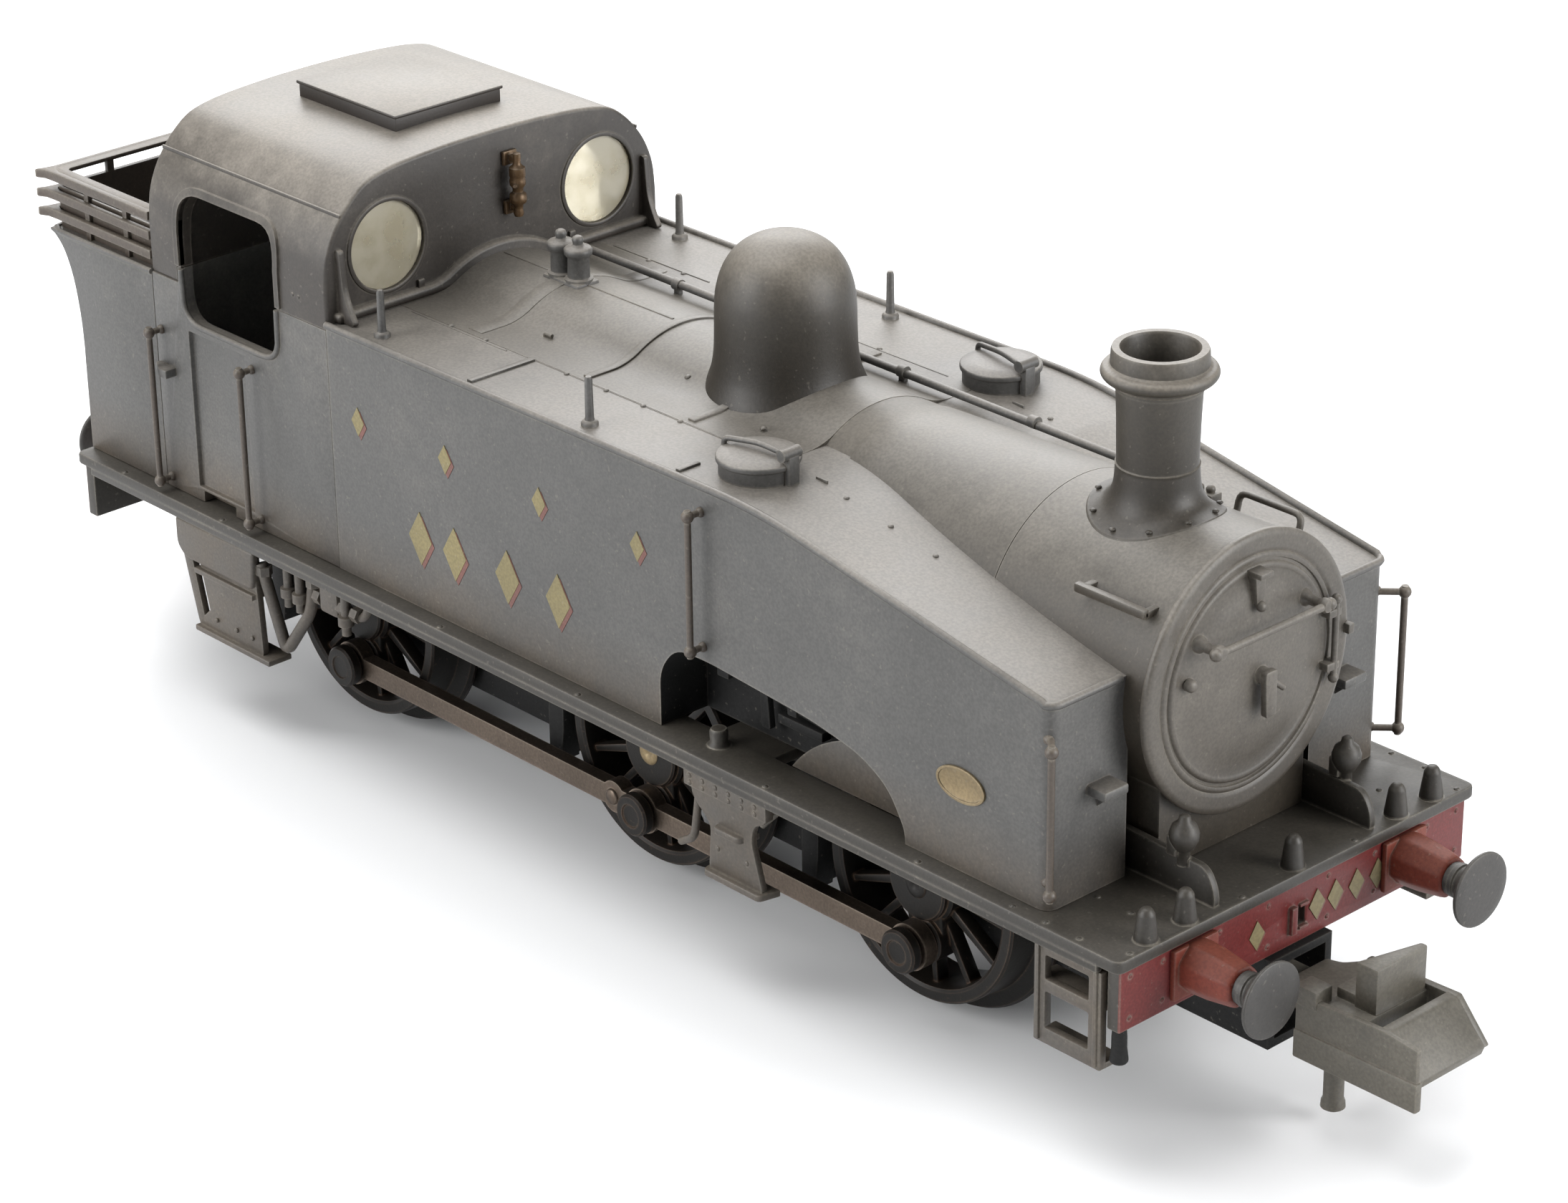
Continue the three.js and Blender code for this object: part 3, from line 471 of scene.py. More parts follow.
def boiler():
    outline = [(0, -13.08), (BOILER_R, -13.08), (BOILER_R, 10.9), (4.84, 10.94), (4.87, 10.99), (4.92, 12.5),
               (5.1, 19.2), (5.12, 19.97), (0, 19.97)]
    barrel = turned("boiler_sheet", "x", outline, 0, BARREL_Z, 96)
    fillet = slab("fillet", "yz", over_boiler(BOILER_R, 0.015, 5.2) + [(5.2, 19.6), (-5.2, 19.6)], -13.08, 9.5)
    bands = []
    for x, half, rise in ((-8.55, 0.44, 0.06), (-1.75, 0.2, 0.1), (4.3, 0.2, 0.1)):
        band = slab("band", "yz", over_boiler(BOILER_R, rise, 4.9) + [(4.9, 19.6), (-4.9, 19.6)], x - half, x + half)
        bands.append(soften(band, 0.05))
    seams = [block("seam", a, b, -0.06, 0.06, 20.7, 20.85, 0.02) for a, b in ((-12.56, -9.7), (-7.3, -2.2))]
    handle = wire("tap", [(-6.2, -3.3, 19.7), (-6.1, -3.3, 20.0), (-5.7, -3.3, 20.0)], 0.09)
    bolt = rivets("bolt", [(1.43, -2.5, 20.13), (-11.2, -3.0, 19.85), (6.9, -3.6, 19.98)], (0, -0.4, 1), 0.14)
    sheet = joined("boiler_sheet", smooth(fillet, 30), *bands, *seams, handle, bolt)
    bay = block("bay", -14, 8, -3.62, 3.62, 8, 17.2)
    cut(barrel, bay)
    return joined("boiler_sheet", barrel, sheet)


made["boiler_sheet"] = (boiler(), "dusty", "locomotive", ["boiler"])
print("boiler:", len(made["boiler_sheet"][0].data.polygons), "faces")

# %% [markdown]
# The smokebox is a drum of slightly larger radius on a saddle, with a flat bar along its
# near side and a bent rail on top. The rail is a wire with its corners eased.

# %% Smokebox
SMOKEBOX_R = 5.14


def smokebox():
    drum = turned("drum", "x", [(0, 20.0), (5.12, 20.0), (SMOKEBOX_R, 23), (5.15, 27.75), (0, 27.75)], 0,
                  BARREL_Z, 96)
    saddle = block("saddle", 23.7, 27.5, -3.85, 3.85, 9.25, 13, 0.08)
    bar = block("side_bar", 23.9, 27.2, -4.62, -4.3, 19.25, 19.6, 0.07)
    stays = [block("stay", x, x + 0.3, -4.5, -3.2, 19.2, 19.5, 0.05) for x in (24.0, 26.9)]
    rail = wire("top_rail", eased([(24.3, 3.3, 19.7), (24.3, 3.55, 20.65), (27.2, 3.55, 20.65), (27.2, 3.3, 19.7)],
                                  0.35, 4), 0.13)
    foot = joined("foot", block("foot", 22.3, 23.4, 3.0, 3.6, 19.9, 20.35, 0.06),
                  ball("knob", 23.1, 3.3, 20.45, 0.18), ball("knob", 22.6, 3.3, 20.4, 0.15))
    return joined("smokebox_drum", drum, saddle, bar, *stays, rail, foot)


made["smokebox_drum"] = (smokebox(), "dusty", "locomotive", ["smokebox"])
print("smokebox:", len(made["smokebox_drum"][0].data.polygons), "faces")

# %% [markdown]
# The smokebox door is a shallow dish in a wide ring, turned in one go from a single
# outline. Its handrail, lamp iron, dart and hinge are small pieces joined on.

# %% Smokebox door
def smokebox_door():
    x = 27.77
    ring = eased([(0, x), (5.33, x), (5.33, x + 0.24), (5.12, x + 0.34), (4.62, x + 0.3), (4.5, x + 0.24)], 0.09, 4)
    bead = [(4.46, x + 0.3), (4.36, x + 0.33), (4.27, x + 0.3), (4.24, x + 0.22), (4.14, x + 0.22), (4.1, x + 0.31),
            (4.0, x + 0.36), (3.9, x + 0.33), (3.82, x + 0.3)]
    dish = [(3.2, x + 0.43), (2.5, x + 0.54), (1.6, x + 0.63), (0.8, x + 0.67), (0, x + 0.68)]
    door = smooth(turned("door", "x", ring + bead + dish, 0, BARREL_Z, 96), 60)
    bar_x, bar_z = x + 1.35, 18.05
    bar = wire("bar", [(bar_x, -2.75, bar_z), (bar_x, 2.75, bar_z)], 0.15)
    posts = []
    for y in (-2.75, 2.75):
        post = [(0, x + 0.3), (0.34, x + 0.3), (0.3, x + 0.5), (0.2, x + 0.6), (0.19, x + 1.1), (0.27, x + 1.2),
                (0.29, x + 1.35), (0.22, x + 1.5), (0, x + 1.55)]
        posts.append(turned("post", "x", post, y, bar_z, 20))
        posts.append(ball("end", bar_x, y * 1.08, bar_z, 0.24))
    iron = soften(slab("iron", "yz", [(-0.3, 20.0), (0.3, 20.0), (0.17, 18.75), (-0.17, 18.75)], x + 0.3,
                       x + 0.72), 0.07)
    knob = ball("iron_end", x + 0.75, 0, 18.72, 0.2)
    shelf = block("iron_top", x + 0.3, x + 1.0, -0.34, 0.34, 19.85, 20.08, 0.06)
    dart = joined("dart", turned("dart_boss", "x", [(0, x + 0.55), (0.34, x + 0.55), (0.3, x + 1.0), (0, x + 1.05)],
                                 0.2, 16.0, 20),
                  soften(slab("dart_arm", "yz", eased([(-0.1, 16.0), (-0.1, 16.3), (0.5, 16.3), (0.5, 14.5),
                                                       (-0.02, 14.5), (-0.1, 15.9)], 0.12, 3),
                              x + 0.9, x + 1.2), 0.06),
                  wire("dart_second", [(x + 0.85, 0.2, 16.0), (x + 0.9, 1.15, 15.25)], 0.12))
    boss = turned("boss", "x", [(0, x + 0.4), (0.24, x + 0.4), (0.24, x + 0.62), (0.14, x + 0.72), (0, x + 0.73)],
                  -3.3, 16.7, 16)
    hinge = wire("hinge", [(x + 0.62, 4.2, 14.5), (x + 0.62, 4.2, 17.6)], 0.12)
    straps = [block("strap", x + 0.1, x + 0.72, 3.75, 4.4, z - 0.16, z + 0.16, 0.05) for z in (15.0, 17.1)]
    ends = [ball("hinge_end", x + 0.62, 4.2, z, 0.2) for z in (14.5, 17.6)]
    lug = block("lug", x - 0.1, x + 0.6, 5.0, 5.3, 15.9, 16.3, 0.05)
    return joined("smokebox_door_dish", door, bar, *posts, iron, knob, shelf, dart, boss, hinge, *straps,
                  *ends, lug)


made["smokebox_door_dish"] = (smokebox_door(), "dusty", "locomotive", ["smokebox_door"])
print("door:", len(made["smokebox_door_dish"][0].data.polygons), "faces")

# %% [markdown]
# The chimney is a casting that flares out to lie on the smokebox. It is turned first. Its
# lower points then slide down the drum's curve, and a drum of the same size cuts it.

# %% Chimney
CHIMNEY_X = 23.5


def chimney():
    flare = flowing([(2.46, 21.18), (2.15, 21.24), (1.87, 21.36), (1.67, 21.6), (1.55, 21.98), (1.5, 22.62)], 5)
    joint = [(1.52, 22.66), (1.47, 22.7)]
    barrel = [(1.47, 23.0), (1.5, 24.4), (1.54, 25.3), (1.54, 25.5), (1.6, 25.52), (1.6, 25.62), (1.56, 25.66),
              (1.58, 25.76)]
    lip = flowing([(1.62, 25.78), (1.9, 25.84), (2.06, 25.98), (2.1, 26.14), (2.02, 26.3), (1.84, 26.36),
                   (1.76, 26.42)], 4)
    crown = [(1.74, 26.9), (1.7, 27.0), (1.44, 27.0), (1.38, 26.9), (1.36, 24.0), (0, 23.8)]
    outline = [(0, 18.5), (2.5, 18.5), (2.5, 21.12)] + flare + joint + barrel + lip + crown
    body = turned("chimney_casting", "z", outline, CHIMNEY_X, 0, 72)
    for point in body.data.vertices:
        low = min(1, max(0, (22.6 - point.co.z / MM) / 1.4))
        point.co.z += low * (math.sqrt(SMOKEBOX_R ** 2 - (point.co.y / MM) ** 2) - SMOKEBOX_R) * MM
    cut(body, disc("skin", "x", SMOKEBOX_R, 15, 30, 0, BARREL_Z, 128))
    heads = []
    for k in range(10):
        a = 2 * math.pi * (k + 0.5) / 10
        y = 2.27 * math.sin(a)
        heads.append((CHIMNEY_X + 2.27 * math.cos(a), y, BARREL_Z + math.sqrt(5.27 ** 2 - y * y)))
    smooth(body, 42)
    return joined("chimney_casting", body, rivets("chimney_rivets", heads, (0, 0, 1), 0.13))


made["chimney_casting"] = (chimney(), "dusty", "locomotive", ["chimney"])
print("chimney:", len(made["chimney_casting"][0].data.polygons), "faces")

# %% [markdown]
# The dome is turned from one smooth outline and cut by a drum of the boiler's size. Its
# foot only just widens, so no points have to be moved.

# %% Dome
def dome():
    outline = flowing([(3.5, 18.9), (3.25, 19.8), (3.02, 20.35), (2.86, 20.85), (2.77, 21.5), (2.74, 22.3),
                       (2.72, 23.3), (2.64, 24.0), (2.4, 24.75), (1.97, 25.4), (1.4, 25.82), (0.75, 26.06),
                       (0, 26.13)], 5)
    body = turned("dome_casting", "z", [(0, 18.9)] + outline, 4.3, 0, 96)
    cut(body, disc("skin", "x", 4.7, -5, 14, 0, BARREL_Z, 128), block("below", -2, 12, -6, 6, 15, 19.7))
    return smooth(body, 50)


made["dome_casting"] = (dome(), "dusty", "locomotive", ["dome"])
print("dome:", len(made["dome_casting"][0].data.polygons), "faces")

# %% [markdown]
# The safety valves and the whistle are small turned parts, and the pipe along the far side
# of the boiler is a long wire held in collars.

# %% Valves, whistle and pipe
def safety_valves():
    outline = [(0, 20.3), (0.6, 20.3), (0.58, 21.0), (0.46, 21.05), (0.44, 21.85), (0.5, 21.95), (0.57, 22.02),
               (0.58, 22.22), (0.5, 22.3), (0.28, 22.34), (0.2, 22.42), (0.21, 22.5), (0.24, 22.6), (0.2, 22.72),
               (0.1, 22.78), (0, 22.79)]
    pair = [turned("valve", "z", outline, x, 0, 32) for x in (-8.95, -7.9)]
    return joined("safety_valve_pair", *pair, block("valve_seat", -9.5, -7.3, -0.6, 0.6, 20.3, 20.93, 0.12))


def whistle():
    outline = [(0, 22.2), (0.18, 22.2), (0.22, 22.35), (0.18, 22.5), (0.2, 22.7), (0.34, 22.8), (0.36, 22.95),
               (0.34, 23.15), (0.22, 23.25), (0.22, 23.4), (0.33, 23.55), (0.34, 23.75), (0.3, 23.85), (0.34, 23.95),
               (0.33, 24.28), (0.2, 24.38), (0.15, 24.5), (0.17, 24.7), (0.16, 24.88), (0, 24.95)]
    body = turned("whistle_body", "z", outline, -12.55, 0.8, 28)
    arms = [block("arm", -13.12, -12.5, 0.68, 0.92, z - 0.14, z + 0.14, 0.05) for z in (24.6, 22.5)]
    plates = [block("plate", -13.12, -12.95, 0.45, 1.15, z - 0.3, z + 0.3, 0.05) for z in (24.6, 22.5)]
    lever = wire("lever", [(-12.55, 0.8, 23.5), (-12.2, 0.35, 23.65)], 0.07)
    return joined("whistle_body", body, *arms, *plates, lever)


def side_pipe():
    run = wire("pipe", [(-13.05, 3.6, 20.3), (3, 3.6, 20.22), (19.9, 3.6, 20.12)], 0.17)
    collars = [disc("collar", "x", 0.25, x - 0.18, x + 0.18, 3.6, 20.24, 16) for x in (-6, 0, 7, 14)]
    feet = [block("pipe_foot", x - 0.16, x + 0.16, 3.48, 3.72, 19.6, 20.2, 0.04) for x in (-6, 0, 7)]
    return joined("boiler_pipe", run, *collars, *feet)


made["safety_valve_pair"] = (safety_valves(), "charcoal", "locomotive", ["safety_valves"])
made["whistle_body"] = (whistle(), "bronze", "locomotive", ["whistle"])
made["boiler_pipe"] = (side_pipe(), "charcoal", "locomotive", ["boiler_pipe_left"])
print("pieces so far:", len(made))

# %% [markdown]
# Each side tank is a tall box that stands along the barrel: level on top over the wheels,
# then sloping down to the front. One line holds the top's height, with its bend eased, and
# the tank's plate, its bead and its rivets all read it.

# %% The line of the tank tops
TANK_FRONT, SLOPE_Z = 26.85, 17.17
TANK_TOP = eased([(-13.2, TANK_Z), (12.2, TANK_Z), (TANK_FRONT, SLOPE_Z)], 2.4, 8)


def on_top(x):
    """Height of the tank top at x."""
    for (a, p), (b, q) in zip(TANK_TOP, TANK_TOP[1:]):
        if a <= x <= b:
            return p + (q - p) * (x - a) / max(b - a, 1e-6)
    return SLOPE_Z


print("tank top at x = 20:", round(on_top(20), 2), "mm")

# %% [markdown]
# The shell is pulled from its side outline, and then cut: a round front corner, the alcove
# low in its side, and room inside for the boiler, the smokebox and the wheels. Behind the
# alcove stand the splasher, the motion rod and its guides.

# %% Tank shell and splasher
BASE_Z = 9.25


def tank_shell():
    body = slab("tank", "xz", [(-13.2, BASE_Z), (TANK_FRONT, BASE_Z)] + TANK_TOP[::-1], -BODY_Y, -2.6)
    corner = slab("corner", "xy", [(TANK_FRONT - 0.5, -9.2), (TANK_FRONT + 1, -9.2), (TANK_FRONT + 1, -8.2)]
                  + [(TANK_FRONT - 0.5 + 0.5 * math.cos(a), -8.245 - 0.5 * math.sin(a))
                     for a in [k * math.pi / 12 for k in range(7)]], 8, 20)
    notch = eased([(6.6, 9), (6.6, 11.6), (7.5, 12.75), (9.2, 12.85), (14.9, 12.45), (17.4, 12.0), (18.9, 11.2),
                   (19.75, 9.8), (19.8, 9)], 0.8, 5)
    alcove = slab("alcove", "xz", notch, -9, -6.4)
    inner = block("inner", -14, 28, -4.85, 0, 9, 16)
    drum = disc("drum", "x", 4.7, -15, 19.95, 0, BARREL_Z, 96)
    smoke = disc("smoke", "x", 5.0, 19.9, 29, 0, BARREL_Z, 96)
    rooms = [block("room", x - 5.95, x + 5.95, -6.25, -3, 9, 11.5) for x in AXLES.values()]
    cut(body, corner, alcove, inner, drum, smoke, *rooms)
    return soften(body, 0.07, 2, 40)


def behind_the_alcove():
    splash = disc("splasher", "y", 6.15, -7.5, -6.3, AXLES["front"], AXLE_Z, 96)
    cut(splash, block("low", 0, 30, -9, 0, -1, BASE_Z), block("fore", 18.6, 30, -9, 0, 5, 20))
    soften(splash, 0.06)
    rod = wire("motion_rod", [(8.8, -7.2, 11.9), (14.5, -7.2, 11.3)], 0.17)
    blocks = [block("motion_block", 8.3, 8.95, -7.42, -6.3, 11.5, 12.9, 0.07),
              block("motion_guide", 11.2, 13.6, -7.0, -6.5, 10.4, 10.8, 0.06),
              block("motion_clamp", 12.2, 12.7, -7.45, -6.9, 11.25, 11.85, 0.06)]
    link = eased([(10.3, 12.0), (10.7, 12.0), (10.9, 10.0), (10.4, 10.0), (10.3, 11.9)], 0.1, 2)
    return [splash, rod, *blocks, soften(slab("link", "xz", link, -7.1, -6.8), 0.05)]


print("splasher radius:", 6.15, "mm round the front axle")

# %% [markdown]
# On the shell go the half-round bead, the shelf in front, pegs, the filler with its hinged
# strap, thin seams and rivets. The tank is made once for the right and mirrored.

# %% Tank fittings
def top_bead():
    bead_line = [(x, -BODY_Y + 0.02, z + 0.02) for x, z in TANK_TOP]
    turn = [(TANK_FRONT - 0.45 + 0.45 * math.sin(a), -8.27 - 0.45 * math.cos(a), SLOPE_Z + 0.02)
            for a in [k * math.pi / 12 for k in range(1, 7)]]
    bead_line = bead_line[:-1] + [(TANK_FRONT - 0.45, -BODY_Y + 0.02, SLOPE_Z + 0.12)] + turn \
        + [(TANK_FRONT, -5.3, SLOPE_Z + 0.02)]
    return wire("bead", bead_line, 0.155, sides=2)


def tank_fittings():
    bracket = block("shelf", TANK_FRONT - 0.1, TANK_FRONT + 0.9, -6.9, -5.7, 13.2, 13.6, 0.09)
    stay = slab("stay", "xz", [(TANK_FRONT, 13.3), (TANK_FRONT + 0.8, 13.3), (TANK_FRONT, 12.6)], -6.35, -6.2)
    foot = [(0, 19.4), (0.34, 19.4), (0.34, 19.98), (0.26, 20.06), (0.2, 20.08), (0.17, 20.2), (0.15, 21.7),
            (0.11, 21.82), (0, 21.85)]
    pegs = [turned("tank_peg", "z", foot, x, -7.85, 16) for x in (1.9, -10.7)]
    lid = eased([(0, 19.4), (1.5, 19.4), (1.5, 20.38), (1.6, 20.4), (1.6, 20.6), (1.1, 20.72), (0, 20.76)], 0.05, 2)
    filler = turned("filler", "z", lid, 9.6, -6.3, 48)
    strap = wire("strap", eased([(8.05, -6.6, 20.3), (8.05, -6.6, 20.86), (9.6, -6.3, 21.02), (10.95, -6.1, 20.86),
                                 (11.25, -6.1, 20.6)], 0.4, 4), 0.11)
    lug = joined("lug", block("lug", 11.0, 11.35, -6.4, -5.85, 19.6, 20.95, 0.08),
                 disc("lug_pin", "y", 0.24, -6.6, -5.7, 11.1, 21.0, 16))
    strips = [block("strip", -4.75, -4.45, -8.4, -5.2, TANK_Z - 0.1, TANK_Z + 0.1, 0.04),
              block("strip", 7.35, 7.6, -8.4, -7.35, TANK_Z - 0.1, TANK_Z + 0.1, 0.04)]
    strips += [block("seam", a, b, y - 0.04, y + 0.04, TANK_Z - 0.1, TANK_Z + 0.035, 0.02)
               for a, b, y in ((-12.0, -6.05, -5.33), (-4.7, 7.9, -5.12), (11.4, 12.0, -5.1))]
    heads = [(x, -5.2, TANK_Z + 0.02) for x in (-9.64, -7.49, -2.57, -0.23, 1.92, 4.03)]
    heads += [(x, -5.3, on_top(x) + 0.01) for x in (13.2, 15.5, 17.8)]
    return [bracket, stay, *pegs, filler, strap, lug, *strips, rivets("tank_rivets", heads, (0, 0, 1), 0.12)]


tank = joined("tank_sheet", tank_shell(), *behind_the_alcove(), top_bead(), *tank_fittings())
made["tank_right"] = (copied(tank, "tank_right"), "charcoal", "locomotive", ["side_tank_right"])
made["tank_left"] = (other_side(tank, "tank_left"), "charcoal", "locomotive", ["side_tank_left"])
bpy.data.objects.remove(tank)
print("tanks:", len(made["tank_right"][0].data.polygons), "faces each")

# %% [markdown]
# The cab is one bent sheet: roof and sides flow into each other in a wide curve. Half of
# the arch is a smooth curve through a few points, and the other half is its mirror.

# %% The cab's arch and openings
CAB_BACK, CAB_FRONT, WALL = -25.15, -13.13, 0.6
ROOF = flowing([(8.745, 21.2), (8.62, 22.4), (8.25, 23.4), (7.72, 24.2), (7.1, 24.85), (6.35, 25.35), (5.3, 25.62),
                (4.0, 25.76), (2.0, 25.87), (0, 25.9)], 4)


def arch(grow, z):
    """The cab's outline grown outwards, down to the height z."""
    half = [(max(0, y + grow), h + grow) for y, h in ROOF if y > 1e-3]
    sides = [(y, h) for y, h in half if y > 1e-3]
    crown = [(0, ROOF[-1][1] + grow)]
    return [(-half[0][0], z)] + [(-y, h) for y, h in sides] + crown + sides[::-1] + [(half[0][0], z)]


DOOR = eased([(-23, 17.0), (-23, 23), (-16.45, 23), (-16.45, 17.0)], 1.3, 6)
GAP = eased([(-23, 30), (-23, 17.3), (-16.45, 17.3), (-16.45, 30)], 1.2, 6)
WINDOWS = {"front": (5.54, 22.43, 1.85), "rear": (5.0, 22.6, 1.5)}
print("cab:", round(CAB_FRONT - CAB_BACK, 2), "mm long")

# %% [markdown]
# The arch is pulled along the engine and hollowed by a smaller arch. It is then opened for
# the doorways, the boiler and the four round windows, while it is still one plain shell.

# %% Cab shell
def cab_sheet():
    x0, x1 = CAB_BACK, CAB_FRONT
    shell = slab("cab", "yz", arch(0, 18.95), x0, x1)
    soften(shell, 0.16, 3, 60)
    cut(shell, slab("hollow", "yz", arch(-WALL, 10), x0 + WALL, x1 - WALL))
    cut(shell, block("under", -23.3, x1 + 1, -10, 10, 10, 19.65),
        block("over_tank", x1 - 0.08, x1 + 1, -10, 10, 10, 19.87),
        slab("door", "xz", DOOR, -10, 10), disc("skin", "x", 4.83, -16, 0, 0, BARREL_Z, 96))
    for x, (y, z, r) in ((x1, WINDOWS["front"]), (x0, WINDOWS["rear"])):
        for s in (-1, 1):
            cut(shell, disc("window", "x", r, x - 1, x + 1, s * y, z, 64))
    return smooth(shell, 38)


print("windows:", *WINDOWS)

# %% [markdown]
# Raised beads frame the openings, as on the real casting. The bead round the door is the
# part of a slightly larger arch that lies between two outlines of the door.

# %% Cab beads and fins
def window_rims():
    parts = []
    for x, out, (y0, z, r) in ((CAB_FRONT, 1, WINDOWS["front"]), (CAB_BACK, -1, WINDOWS["rear"])):
        for y in (-y0, y0):
            rim = [(r, x - out * 0.2), (r, x + out * 0.07), (r + 0.07, x + out * 0.1),
                   (r + 0.16, x + out * 0.07), (r + 0.2, x - out * 0.1)]
            parts.append(turned("window_rim", "x", rim, y, z, 64, closed=True))
            parts.append(block("window_catch", min(x, x + out * 0.16), max(x, x + out * 0.16), y * 0.72 - 0.16,
                               y * 0.72 + 0.16, z - r - 0.35, z - r + 0.02, 0.05))
    return parts


def cab_beads():
    x0, x1 = CAB_BACK, CAB_FRONT
    parts = []
    face = slab("moulding", "yz", over_boiler(BOILER_R, 0.42, 8.35) + [(8.35, 19.87), (-8.35, 19.87)], x1 - 0.3,
                x1 + 0.36)
    parts.append(soften(face, 0.15, 3))
    for s in (-1, 1):
        fin = eased([(x1 - 0.1, 19.87), (x1 + 1.1, 19.87), (x1 + 0.75, 20.4), (x1 + 0.4, 21.2), (x1 + 0.25, 22.9),
                     (x1 - 0.1, 22.9)], 0.5, 4)
        parts.append(soften(slab("fin", "xz", fin, s * 8.0 - 0.14, s * 8.0 + 0.14), 0.06))
        parts.append(block("eave", x0 + 0.05, x1 - 0.05, s * 7.75 - 0.05, s * 7.75 + 0.05, 24.1, 24.26, 0.03))
    grown = eased([(-23.3, 17.0), (-23.3, 23.3), (-16.15, 23.3), (-16.15, 17.0)], 1.5, 6)
    frame_ring = slab("frame_ring", "xz", grown + DOOR[::-1], -10, 10)
    skin = slab("skin", "yz", arch(0.1, 19.75), x0 + 0.4, x1 - 0.4)
    cut(skin, slab("hollow", "yz", arch(-0.2, 10), x0, x1))
    parts.append(smooth(cut(skin, frame_ring, operation="INTERSECT"), 50))
    marks = [(x, s * 8.72, 20.6) for x in (-15.3, -14.9) for s in (-1, 1)]
    parts += [rivets("cab_rivets", marks, (0, 1, 0), 0.11)]
    return parts


made["cab_roof"] = (joined("cab_roof", cab_sheet(), *window_rims(), *cab_beads()), "soot", "locomotive",
                    ["cab_shell"])
print("cab roof:", len(made["cab_roof"][0].data.polygons), "faces")

# %% [markdown]
# Below the roof's sheet stand the cab's sides, with a recess for each door and a floor
# inside. They are one block, hollowed and cut, because the real casting is one piece too.

# %% Cab sides
def cab_sides():
    x0, x1 = CAB_BACK, -13.23
    body = block("cab_sides", x0, x1, -BODY_Y, BODY_Y, BASE_Z, 19.63)
    cut(body, block("room", x0 + WALL, x1 - WALL, -BODY_Y + WALL, BODY_Y - WALL, 12, 30),
        block("step", x0 - 1, -23.3, -10, 10, 18.93, 30), slab("gap", "xz", GAP, -10, 10))
    for s in (-1, 1):
        cut(body, block("recess", -22.8, -18.95, min(s * 8.52, s * 10), max(s * 8.52, s * 10), 9.9, 16.9),
            block("hand_hole", -22.5, -20.3, min(s * 8.2, s * 10), max(s * 8.2, s * 10), 9.0, 9.75),
            block("wheel_room", AXLES["rear"] - 5.95, AXLES["rear"] + 5.95, min(s * 3, s * 6.25),
                  max(s * 3, s * 6.25), 9, 11.5))
    return soften(body, 0.05, 2, 50)


print("room in the cab:", round(-13.23 - CAB_BACK - 2 * WALL, 2), "mm long")

# %% [markdown]
# Inside are two seats and the back of the firebox with its door, gauges, regulator and
# water glass. They are dark and hardly seen, so simple turned parts and wires are enough.

# %% Cab fittings
def cab_fittings():
    x0, parts = CAB_BACK, []
    for s in (-1, 1):
        gap = [(p, q) for p, q in GAP if q < 25]
        corners = [(gap[0][0], 19.6)] + gap[1:-1] + [(gap[-1][0], 19.6)]
        parts.append(wire("door_rim", [(p, s * 8.76, q) for p, q in corners], 0.13, sides=2))
        parts.append(block("seat", x0 + 0.5, -21.8, s * 6.25 - 1.6, s * 6.25 + 1.6, 11.9, 14.6, 0.12))
        bracket = [(-25.1, s * 8.7), (-23.9, s * 8.7), (-23.9, s * 9.3), (-24.4, s * 9.3), (-25.1, s * 8.95)]
        parts.append(soften(slab("bracket", "xy", bracket, 14.55, 14.95), 0.08))
    back = disc("firebox_back", "x", 4.2, -14.95, -13.8, 0, BARREL_Z, 48)
    cut(back, block("top", -20, 0, -6, 6, 19.4, 30), block("low", -20, 0, -6, 6, 5, 12))
    parts.append(soften(back, 0.1))
    fire_door = [(0, -14.9), (1.0, -14.9), (1.0, -15.05), (0.8, -15.1), (0, -15.12)]
    parts.append(turned("fire_door", "x", fire_door, 0, 14.4, 32))
    for y, z, r in ((-1.5, 18.2, 0.45), (0.9, 18.4, 0.55), (2.2, 17.6, 0.35)):
        parts.append(turned("gauge", "x", [(0, -14.9), (r, -14.9), (r, -15.2), (r - 0.08, -15.22), (r - 0.1, -15.16),
                                           (0, -15.16)], y, z, 24))
    parts += [wire("regulator", [(-14.9, 0, 17.2), (-15.5, 0, 17.2), (-15.5, 1.3, 16.6)], 0.14),
              wire("glass", [(-15.1, -2.3, 15.6), (-15.1, -2.3, 17.6)], 0.13),
              wire("pipe", eased([(-14.9, 2.8, 16), (-15.4, 2.8, 16), (-15.4, 2.9, 12.1)], 0.4, 4), 0.14)]
    return parts


made["cab_body"] = (joined("cab_body", cab_sides(), *cab_fittings()), "charcoal", "locomotive", ["cab_lower"])
print("cab sides:", len(made["cab_body"][0].data.polygons), "faces")

# %% [markdown]
# The roof hatch is a frame with a lid that overhangs it. The window panes are thick discs
# of clear plastic whose outer face bulges a little, so they are turned parts.

# %% Hatch and panes
def roof_hatch():
    frame_box = block("hatch", -22.26, -15.84, -2.74, 2.74, 25.6, 26.44, 0.05)
    lid = block("hatch_lid", -22.35, -15.75, -2.83, 2.83, 26.38, 26.55, 0.07)
    return joined("hatch_box", frame_box, lid)


def glazing(name, x, inward, window):
    y, z, r = window
    panes = []
    for s in (-1, 1):
        a, b = sorted((x + inward * 0.12, x + inward * 0.55))
        bulge = x + inward * 0.06
        near, far = (b, a) if inward < 0 else (a, b)
        profile = [(0, far), (r - 0.01, far), (r - 0.01, near), (r * 0.7, (near + bulge) / 2), (0, bulge)]
        panes.append(turned("pane", "x", profile, s * y, z, 48))
    return joined(name, *panes)


